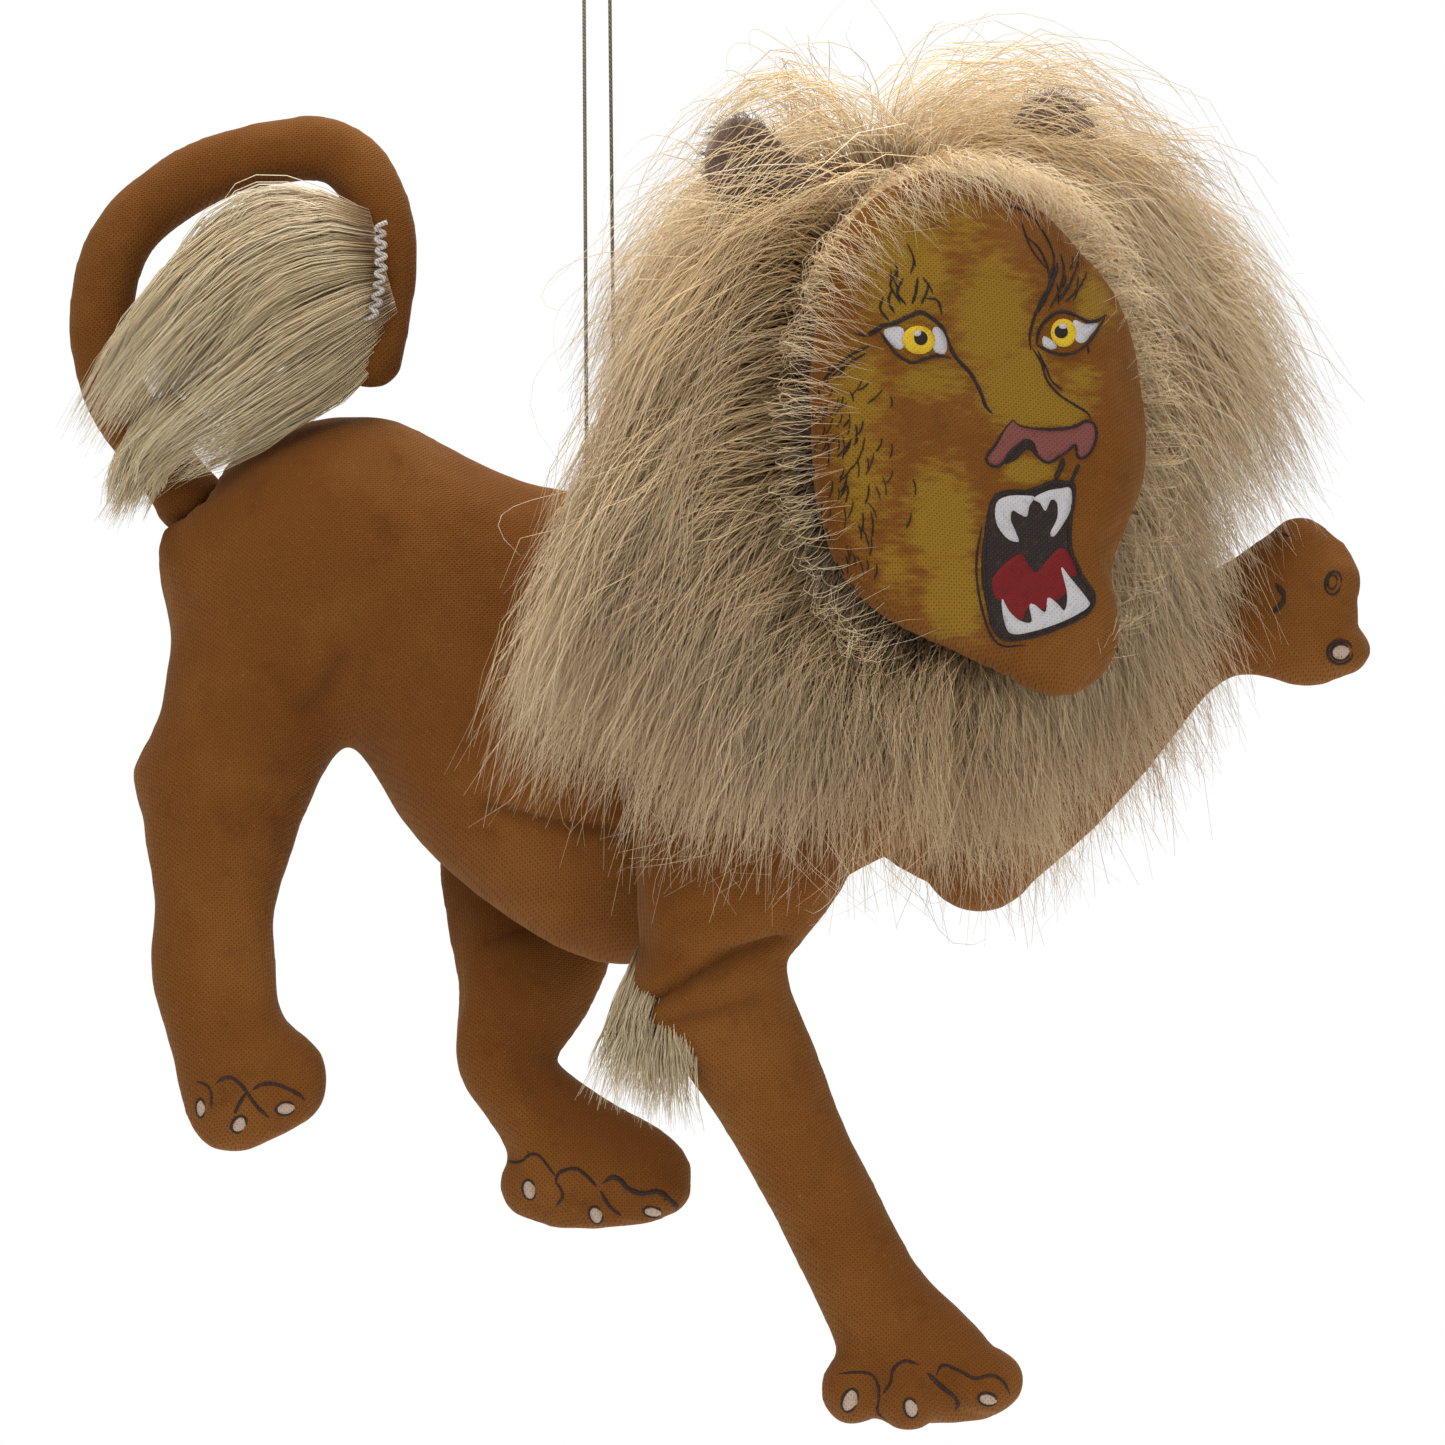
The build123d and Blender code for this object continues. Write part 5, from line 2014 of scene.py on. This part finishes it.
EYE_WHITES = (
    ((-11.2, 11.0), (-10.2, 11.5), (-9.0, 11.4), (-8.7, 10.2), (-9.1, 9.2), (-10.1, 9.5)),
    ((-5.3, 11.6), (-4.3, 11.2), (-3.8, 9.8), (-4.1, 8.8), (-5.2, 9.0), (-5.6, 10.3)),
    ((11.2, 12.6), (12.6, 12.3), (14.2, 12.4), (13.2, 11.1), (12.4, 10.3), (11.4, 10.6)),
    ((7.6, 10.9), (8.6, 10.5), (9.2, 9.8), (8.5, 9.5), (7.6, 9.9)),
)
NOSE_PAD = (
    (4.0, 2.0), (4.8, 1.4), (6.8, 1.1), (9.4, 1.1), (
        11.3, 1.4,
    ), (12.7, 2.0), (13.7, 1.6), (13.9, 0.2),
    (13.3, -1.2), (12.5, -1.9), (11.7, -1.8), (11.4, -0.6), (10.3, -1.4), (9.4, -1.9), (8.2, -2.5),
    (
        7.0, -1.9,
    ), (6.2, -1.0), (5.5, -0.3), (4.8, -0.6), (3.7, -1.4), (2.9, -2.5), (2.1, -3.0), (1.1, -2.7),
    (0.9, -1.9), (1.9, -0.7), (3.1, 1.1),
)
NOSTRIL = (
    (5.6, 0.0), (6.5, -0.4), (6.9, -1.8), (5.7, -1.1), (4.4, -2.2), (3.0, -2.7), (3.5, -1.6),
    (4.6, -0.5),
)
MOUTH = (
    (1.9, -5.9), (3.5, -5.5), (5.6, -5.5), (7.4, -5.0), (8.8, -4.5), (
        10.1, -4.6,
    ), (11.1, -4.7), (11.2, -6.4),
    (10.8, -8.5), (
        10.8, -11.4,
    ), (11.4, -12.9), (12.5, -14.9), (13.6, -16.4), (13.3, -17.9), (12.0, -18.9),
    (
        9.9, -19.8,
    ), (7.2, -20.7), (4.4, -21.2), (2.9, -21.1), (1.8, -20.0), (1.2, -18.0), (0.6, -15.3),
    (0.5, -12.6), (0.8, -10.0), (1.2, -7.3),
)
TONGUE = (
    (
        1.5, -15.0,
    ), (2.8, -13.4), (4.8, -12.2), (5.7, -13.2), (6.7, -14.1), (7.8, -13.1), (9.2, -11.7),
    (
        10.3, -11.7,
    ), (11.1, -12.9), (11.6, -14.4), (10.6, -14.6), (10.3, -16.2), (8.9, -17.2), (7.6, -18.0),
    (5.8, -17.9), (5.0, -19.2), (3.7, -18.4), (2.7, -17.2), (1.9, -16.8),
)
TEETH = (
    ((2.0, -6.9), (3.3, -6.1), (5.6, -6.0), (6.5, -6.2), (5.9, -7.1), (5.6, -8.2), (4.8, -8.0), (3.9, -7.6),
     (3.7, -8.6), (4.3, -9.9), (4.6, -10.9), (3.2, -10.5), (2.0, -8.9)),
    ((6.4, -6.3), (8.0, -5.5), (9.6, -5.2), (10.8, -5.2), (10.9, -7.1), (10.1, -8.7), (8.8, -10.3), (8.4, -9.9),
     (9.2, -8.4), (9.2, -6.8), (8.5, -6.4), (7.8, -7.6), (7.2, -6.8)),
    ((2.7, -16.9), (3.6, -18.2), (4.9, -19.2), (6.2, -19.3), (5.9, -17.6), (6.5, -17.5), (7.8, -18.3),
     (8.1, -16.8), (9.2, -17.4), (
         10.1, -18.1,
     ), (10.4, -16.4), (9.7, -13.6), (10.9, -14.8), (12.7, -16.8),
     (13.0, -17.6), (11.4, -18.6), (9.2, -19.5), (6.4, -20.3), (4.4, -20.6), (3.4, -20.2), (2.8, -18.5)),
)
FACE_INK = (
    (
        1.5, (-12.9, 10.9), (-11.4, 11.6), (-9.8, 12.0), (-8.4, 12.6), (-6.9, 13.1), (-5.4, 12.4),
        (-4.3, 11.5), (-3.6, 10.2),
    ),
    (
        1.3, (-3.7, 10.6), (-3.3, 9.3), (-2.4, 8.1), (-1.2, 7.0), (-0.3, 5.7), (0.4, 4.3),
        (0.8, 3.3), (1.6, 2.6),
    ),
    (
        1.1, (-11.6, 11.0), (-10.2, 9.2), (-9.1, 8.3), (-7.8, 7.8), (-6.2, 8.3), (-5.0, 8.6),
        (-3.4, 8.4),
    ),
    (0.7, (-14.6, 10.9), (-13.2, 10.6), (-12.2, 10.9), (-11.2, 11.5)),
    (0.8, (-10.6, 12.2), (-11.6, 13.5), (-11.2, 14.7)),
    (0.8, (-9.9, 13.0), (-10.6, 14.2), (-10.3, 15.4)),
    (0.9, (-8.6, 13.9), (-9.6, 15.2), (-8.9, 16.7)),
    (0.9, (-7.9, 14.0), (-7.5, 15.0), (-7.2, 16.8)),
    (0.8, (-6.8, 14.0), (-6.2, 15.2), (-5.9, 16.2)),
    (0.8, (-4.4, 13.0), (-4.9, 14.4), (-6.3, 14.6)),
    (0.7, (-9.2, 14.0), (-10.4, 16.0), (-9.6, 17.4)),
    (1.1, (-12.9, 9.5), (-14.6, 8.8), (-16.4, 7.6), (-18.2, 6.0)),
    (0.7, (-13.2, 8.8), (-15.4, 7.6), (-17.4, 6.2)),
    (
        1.2, (6.8, 10.0), (7.1, 11.5), (8.1, 12.7), (9.5, 13.5), (11.1, 13.3), (12.9, 12.6),
        (14.2, 12.8), (15.2, 13.4),
    ),
    (
        1.0, (6.8, 10.0), (8.3, 9.3), (9.9, 9.0), (11.5, 9.3), (12.8, 10.2), (14.0, 11.6),
        (15.0, 13.0),
    ),
    (0.7, (12.9, 10.0), (13.0, 9.2)),
    (
        1.0, (6.1, 9.4), (6.0, 11.0), (6.5, 12.8), (7.4, 14.8), (8.4, 16.6), (8.0, 18.6),
        (7.0, 20.4), (5.4, 21.6),
    ),
    (1.6, (7.0, 13.4), (7.8, 15.0), (8.7, 16.8), (9.4, 18.8)),
    (0.9, (8.4, 13.9), (9.4, 15.6), (10.1, 17.8), (9.8, 19.8)),
    (0.9, (9.3, 14.6), (10.6, 16.2), (11.4, 17.8)),
    (0.8, (10.2, 14.6), (11.4, 15.6), (12.4, 16.8)),
    (0.8, (8.2, 16.4), (8.9, 19.4), (7.6, 22.2), (5.6, 24.2), (2.6, 25.0)),
    (0.7, (7.9, 18.2), (6.2, 20.2), (5.0, 23.2)),
    (0.8, (6.3, 9.6), (7.4, 8.0), (8.0, 6.3), (9.4, 4.8), (11.3, 3.7), (12.8, 2.9), (13.3, 2.2)),
    (0.6, (6.9, 9.4), (7.9, 7.6), (8.6, 6.2), (9.9, 5.2)),
    (1.0, *NOSE_PAD, NOSE_PAD[0]),
    (2.0, (10.0, -2.0), (9.6, -3.2), (9.0, -4.2)),
    (1.4, (10.8, -4.8), (11.5, -3.3), (11.9, -2.6)),
    (1.5, *MOUTH, MOUTH[0]),
    (
        0.8, (0.3, -9.4), (-0.3, -12.6), (-0.2, -15.4), (0.5, -18.4), (1.6, -20.9), (3.0, -21.9),
        (5.6, -21.8),
    ),
)


@dataclass
class Head:
    """Head core, neck, ears, and the painted face cushion."""

    def build(self, finish: Finishes) -> bpy.types.Object:
        """Make the head's pieces.

        Args:
            finish: the materials.

        Returns:
            The face cushion.
        """
        core = StuffedForm(
            "head_core", (
                "head_filling",
            ), ("head_skin",), voxel=1.2 * MM, swell=0.1 * MM, seam_share=0.06, seed=13.0
        ).build(finish.cotton)
        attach(core, Body.HEAD.value)
        neck = StuffedForm(
            "neck_cloth", (
                "neck_filling",
            ), ("neck_skin",), voxel=0.9 * MM, swell=0.1 * MM, seam_share=0.06, seed=15.0
        ).build(finish.cotton)
        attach(neck, Body.NECK.value)
        self.ears(finish)
        return self.face(finish)

    def face(self, finish: Finishes) -> bpy.types.Object:
        """Make the face cushion and draw the face on it.

        Args:
            finish: the materials.

        Returns:
            The cushion.
        """
        cushion = StuffedForm(
            "face_cushion",
            ("face_filling",),
            ("face_skin",),
            slot="painted_face_cotton",
            voxel=0.8 * MM,
            swell=0.8 * MM,
            seam_share=0.0001,
            seed=17.0,
        ).build(finish.face_cotton)
        origin = Vector((FACE_MIDDLE.x - 0.1 * MM, FACE_MIDDLE.y, FACE_MIDDLE.z - 0.4 * MM))
        mesh = cushion.data
        rows = places(mesh) - np.array(origin)
        u = rows[:, 0] / ACROSS.x / MM
        v = rows[:, 2] / MM
        front = np.clip(directions(mesh) @ np.array(LOOKS), 0, 1)
        ochre = np.zeros(len(u))
        for across, above, wide, high, strength in OCHRE_PATCHES:
            near = ((u - across) / wide) ** 2 + ((v - above) / high) ** 2
            ochre = np.maximum(ochre, strength * np.exp(-near * 1.1))
        mark(mesh, "ochre", ochre * front)
        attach(cushion, Body.HEAD.value)
        brush = Brush(cushion, origin, ACROSS, UP, Vector((0.0, -1.0, 0.0)))
        irises = (oval(-7.1, 10.2, 1.9, 1.5), oval(10.0, 11.3, 1.5, 1.5))
        pieces = (
            brush.patches("eye_whites", EYE_WHITES, finish.white, 0.05 * MM),
            brush.patches("irises", irises, finish.yellow, 0.07 * MM),
            brush.patches("nose_pad", (NOSE_PAD,), finish.mauve, 0.05 * MM),
            brush.patches("mouth", (MOUTH, NOSTRIL), finish.ink, 0.07 * MM),
            brush.patches("tongue", (TONGUE,), finish.red, 0.10 * MM),
            brush.patches("teeth", TEETH, finish.white, 0.13 * MM),
            brush.patches(
                "pupils", (oval(-6.9, 10.4, 0.8, 0.75), oval(9.7, 11.4, 0.8, 0.7)), finish.ink,
                0.10 * MM,
            ),
            brush.patches(
                "eye_glints", (oval(-7.3, 10.9, 0.42, 0.3, 20), oval(9.9, 12.0, 0.5, 0.28)),
                finish.white, 0.14 * MM,
            ),
            brush.lines(
                "face_ink", FACE_INK + self.whisker_marks(), finish.ink, FACE_LINE, 0.10 * MM,
            ),
        )
        for piece in pieces:
            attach(piece, Body.HEAD.value)
        return cushion

    def whisker_marks(self) -> tuple:
        """Give the many fine strokes on the cheek and over the eyes.

        Returns:
            The strokes.
        """
        rng = np.random.default_rng(5)
        strokes = []
        for across, above, spread_u, spread_v, angle, count in (
            (-15.5, 3.5, 2.2, 3.0, -118, 26),
            (-15.0, -3.5, 2.6, 4.5, -100, 34),
            (-13.0, -10.5, 1.8, 3.0, -75, 16),
            (10.0, 17.6, 1.6, 2.2, 70, 10),
            (-8.0, 15.6, 2.4, 1.2, 100, 8),
        ):
            for _ in range(count):
                x = across + rng.normal(0, spread_u)
                y = above + rng.normal(0, spread_v)
                turn = math.radians(angle + rng.normal(0, 14))
                length = rng.uniform(1.0, 2.6)
                dx, dy = math.cos(turn) * length, math.sin(turn) * length
                strokes.append(
                    (
                        rng.uniform(0.35, 0.6), (x, y), (x + dx * 0.5 + 0.15, y + dy * 0.5),
                        (x + dx, y + dy),
                    )
                )
        return tuple(strokes)

    def ears(self, finish: Finishes) -> None:
        """Make both felt ears with their nap.

        Args:
            finish: the materials.
        """
        for number, side in enumerate(("right", "left")):
            node = side + "_ear"
            form = bmesh.new()
            form.from_mesh(frame["nodes"][node].data)
            bmesh.ops.remove_doubles(form, verts=form.verts, dist=1e-6)
            ear = from_bmesh(node + "_felt", form)
            even = ear.modifiers.new("even", "REMESH")
            even.mode = "VOXEL"
            even.voxel_size = 0.4 * MM
            apply_all(ear)
            rows = places(ear.data)
            normals = directions(ear.data)
            centre = rows.mean(axis=0)
            away = rows - centre
            cup = (away @ np.array(ACROSS)) ** 2 * 45
            swell = np.array([noise.noise(Vector(row) * 300) for row in rows]) * 0.35 * MM
            rows = rows + normals * (0.25 * MM + swell)[:, None] + np.array(LOOKS) * cup[:, None]
            rows = rows + np.array(EAR_LIFT[side]) * MM
            move_to(ear.data, rows)
            subdivide = ear.modifiers.new("finer", "SUBSURF")
            subdivide.levels = subdivide.render_levels = 1
            apply_all(ear)
            ear.data.shade_smooth()
            ear.data.materials.clear()
            ear.data.materials.append(finish.felt)
            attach(ear, Body.HEAD.value)
            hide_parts(node)
            lean = Vector((-0.5, -0.2, -0.2)) if side == "right" else Vector((0.4, -0.2, -0.1))
            Nap(node + "_nap", Body.HEAD, 1100, 1.6 * MM, lean, 41 + number, 0.045 * MM).build(
                ear.data, finish.felt, "ear_felt"
            )


# ---------------------------------------------------------------- hanging thread
THREAD_POINTS = (
    (-0.903, -9.09, -61.314),
    (-1.354, -0.78, -4.9),
    (-1.4, 0.0, 0.2),
    (1.4, 0.0, 0.2),
    (1.439, 0.78, -4.9),
    (1.897, 9.09, -61.314),
)


@dataclass
class HangingThread:
    """One doubled thread from knot to knot over the hook, which carries the figure."""

    diameter: float = 0.4 * MM
    length: float = 126.1 * MM

    def build(self, finish: Finishes) -> None:
        """Make the thread and its two knots.

        Args:
            finish: the materials.
        """
        curve = bpy.data.curves.new("doubled_thread", "CURVE")
        curve.dimensions = "3D"
        curve.bevel_depth = self.diameter / 2
        curve.bevel_resolution = 3
        curve.resolution_u = 24
        curve.use_fill_caps = True
        spline = curve.splines.new("NURBS")
        spline.points.add(len(THREAD_POINTS) - 1)
        for point, place in zip(spline.points, THREAD_POINTS):
            point.co = (*(Vector(place) * MM), 1.0)
        spline.order_u = 3
        spline.use_endpoint_u = True
        curve.materials.append(finish.hanging)
        thread = bpy.data.objects.new("doubled_thread", curve)
        bpy.context.scene.collection.objects.link(thread)
        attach(thread, Body.TORSO.value)
        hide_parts("suspension_thread")
        knots = [self.knot(node, finish) for node in ("right_thread_knot", "left_thread_knot")]

    def knot(self, node: str, finish: Finishes) -> bpy.types.Object:
        """Tie one knot: three snug turns round the thread.

        Args:
            node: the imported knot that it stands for.
            finish: the materials.

        Returns:
            The knot.
        """
        centre = middle(node)
        form = bmesh.new()
        for number, (rise, turn) in enumerate(((-0.28, 14.0), (0.0, -18.0), (0.27, 9.0))):
            start = Matrix.Translation((0.42 * MM, 0, 0)) @ Matrix.Rotation(math.pi / 2, 4, "X")
            circle = bmesh.ops.create_circle(
                form, segments=8, radius=0.24 * MM, matrix=start,
            )["verts"]
            edges = {edge for vert in circle for edge in vert.link_edges}
            bmesh.ops.spin(
                form, geom=list(circle) + list(edges), cent=(0, 0, 0), axis=(0, 0, 1),
                angle=2 * math.pi, steps=20, use_merge=True,
            )
            fresh = [vert for vert in form.verts if vert.tag is False]
            place = Matrix.Translation(centre + Vector((0, 0, rise * MM)))
            place = place @ Matrix.Rotation(math.radians(turn), 4, "Y")
            bmesh.ops.transform(form, matrix=place, verts=fresh)
            for vert in form.verts:
                vert.tag = True
        bmesh.ops.remove_doubles(form, verts=form.verts, dist=1e-6)
        bmesh.ops.recalc_face_normals(form, faces=form.faces)
        piece = from_bmesh(node + "_turns", form, finish.hanging)
        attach(piece, Body.TORSO.value)
        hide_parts(node)
        return piece


# ---------------------------------------------------------------- studio
@dataclass
class Studio:
    """Camera, plain pale floor and soft light."""

    distance: float = 0.90
    view_width: float = 0.1553
    centre: Vector = Vector((0.0137, 0.0, -0.0820))
    floor_level: float = -0.235
    floor_radius: float = 0.5

    def camera(self) -> None:
        """Place the camera level with the figure, square to its right side."""
        lens = bpy.data.cameras.new("camera")
        lens.sensor_width = 36.0
        lens.lens = 36.0 * (self.distance - 0.012) / self.view_width
        lens.clip_start = 0.01
        lens.clip_end = 60.0
        view = bpy.data.objects.new("camera", lens)
        view.location = self.centre + Vector((0.0, -self.distance, 0.0))
        view.rotation_euler = (math.pi / 2, 0.0, 0.0)
        bpy.context.scene.collection.objects.link(view)
        bpy.context.scene.camera = view

    def floor(self) -> None:
        """Lay a wide pale floor under the figure."""
        form = bmesh.new()
        spot = Matrix.Translation((0.0, 0.0, self.floor_level))
        bmesh.ops.create_circle(
            form, cap_ends=True, segments=128, radius=self.floor_radius, matrix=spot,
        )
        material, _, shader = start_material(
            "pale_floor", Roughness=0.85, Base_Color=(0.93, 0.93, 0.92, 1.0),
        )
        from_bmesh("floor", form, material)

    def lights(self) -> None:
        """Set up the soft lights and a pale surrounding."""
        for name, place, size, power, tint in (
            ("key", (-0.35, -0.60, 0.55), 0.55, 5.0, (1.0, 0.97, 0.93)),
            ("fill", (0.65, -0.55, 0.05), 0.7, 2.2, (1.0, 0.99, 0.97)),
            ("top", (0.05, 0.10, 0.75), 0.6, 8.5, (1.0, 1.0, 1.0)),
            ("back", (0.1, 0.75, 0.25), 0.8, 3.5, (1.0, 1.0, 1.0)),
        ):
            lamp = bpy.data.lights.new(name, "AREA")
            lamp.size = size
            lamp.energy = power
            lamp.color = tint
            light = bpy.data.objects.new(name, lamp)
            light.location = place
            light.rotation_euler = (self.centre - Vector(place)).to_track_quat("-Z", "Y").to_euler()
            bpy.context.scene.collection.objects.link(light)
        world = bpy.data.worlds.new("pale_room")
        world.use_nodes = True
        tree = world.node_tree
        ground = tree.nodes["Background"]
        ground.inputs["Color"].default_value = (1.0, 1.0, 1.0, 1.0)
        path = add_node(tree, "ShaderNodeLightPath")
        strength = sums(
            tree, "ADD", sums(tree, "MULTIPLY", path.outputs["Is Camera Ray"], 0.78), 0.22,
        )
        tree.links.new(strength, ground.inputs["Strength"])
        bpy.context.scene.world = world
        bpy.context.scene.view_settings.view_transform = "Standard"


def dress_packed_parts(finish: Finishes) -> None:
    """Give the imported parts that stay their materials.

    Args:
        finish: the materials.
    """
    for node, material in (
        ("left_hip_tie", finish.waxed),
        ("tail_wire", finish.wire),
        ("mane_backing", finish.knit),
        ("ruff_backing", finish.knit),
    ):
        mesh = frame["nodes"][node].data
        mesh.materials.clear()
        mesh.materials.append(material)


def main() -> None:
    """Build the whole figure and its studio."""
    studio = Studio()
    studio.camera()
    finish = Finishes()
    HangingThread().build(finish)
    trunk = Trunk().build(finish)
    near_foreleg = NearForeleg().build(finish)
    far_foreleg = FarForeleg().build(finish)
    far_hind_leg = FarHindLeg().build(finish)
    cloths = {
        Body.RIGHT_FOREARM: near_foreleg,
        Body.LEFT_HIND_LEG: far_hind_leg,
        Body.RIGHT_HIND_LEG: trunk,
        Body.LEFT_FOREARM: far_foreleg,
    }
    for marks in PAW_MARKS:
        marks.build(cloths[marks.body], finish)
    Head().build(finish)
    Mane().build(finish, [trunk, near_foreleg, far_foreleg])
    Tail().build(finish)
    Tuft(
        "elbow_tuft_hair",
        Body.RIGHT_FOREARM,
        "elbow_tuft",
        (Vector((4.6, -13.6, -106.0)) * MM, Vector((10.4, -15.4, -108.6)) * MM),
        (Vector((1.2, -17.8, -113.6)) * MM, Vector((10.4, -19.6, -116.0)) * MM),
        (Vector((-0.6, -16.8, -122.8)) * MM, Vector((10.6, -18.6, -125.6)) * MM),
        2.6 * MM,
        74,
        16,
        33,
        warm=0.3,
    ).build(finish.tuft)
    ruff = Nap(
        "ruff_hair", Body.TORSO, 1700, 9.0 * MM, Vector((-0.9, 0.0, -0.9)), 51, warm=(0.1, 0.6),
    )
    piece = ruff.build(frame["nodes"]["ruff_backing"].data, finish.mane, "mohair_pile")
    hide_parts("ruff_pile")
    lean = Vector((0.0, 0.1, -1.1))
    nape = Nap(
        "mane_nape", Body.HEAD, 1400, 24.0 * MM, lean, 52, 0.07 * MM, (0.1, 0.9), (0.1, 0.5),
        -LOOKS,
    )
    nape.build(frame["nodes"]["mane_backing"].data, finish.mane, "mohair_pile")
    dress_packed_parts(finish)
    studio.floor()
    studio.lights()
    bpy.context.view_layer.update()


if __name__ == "__main__":
    main()
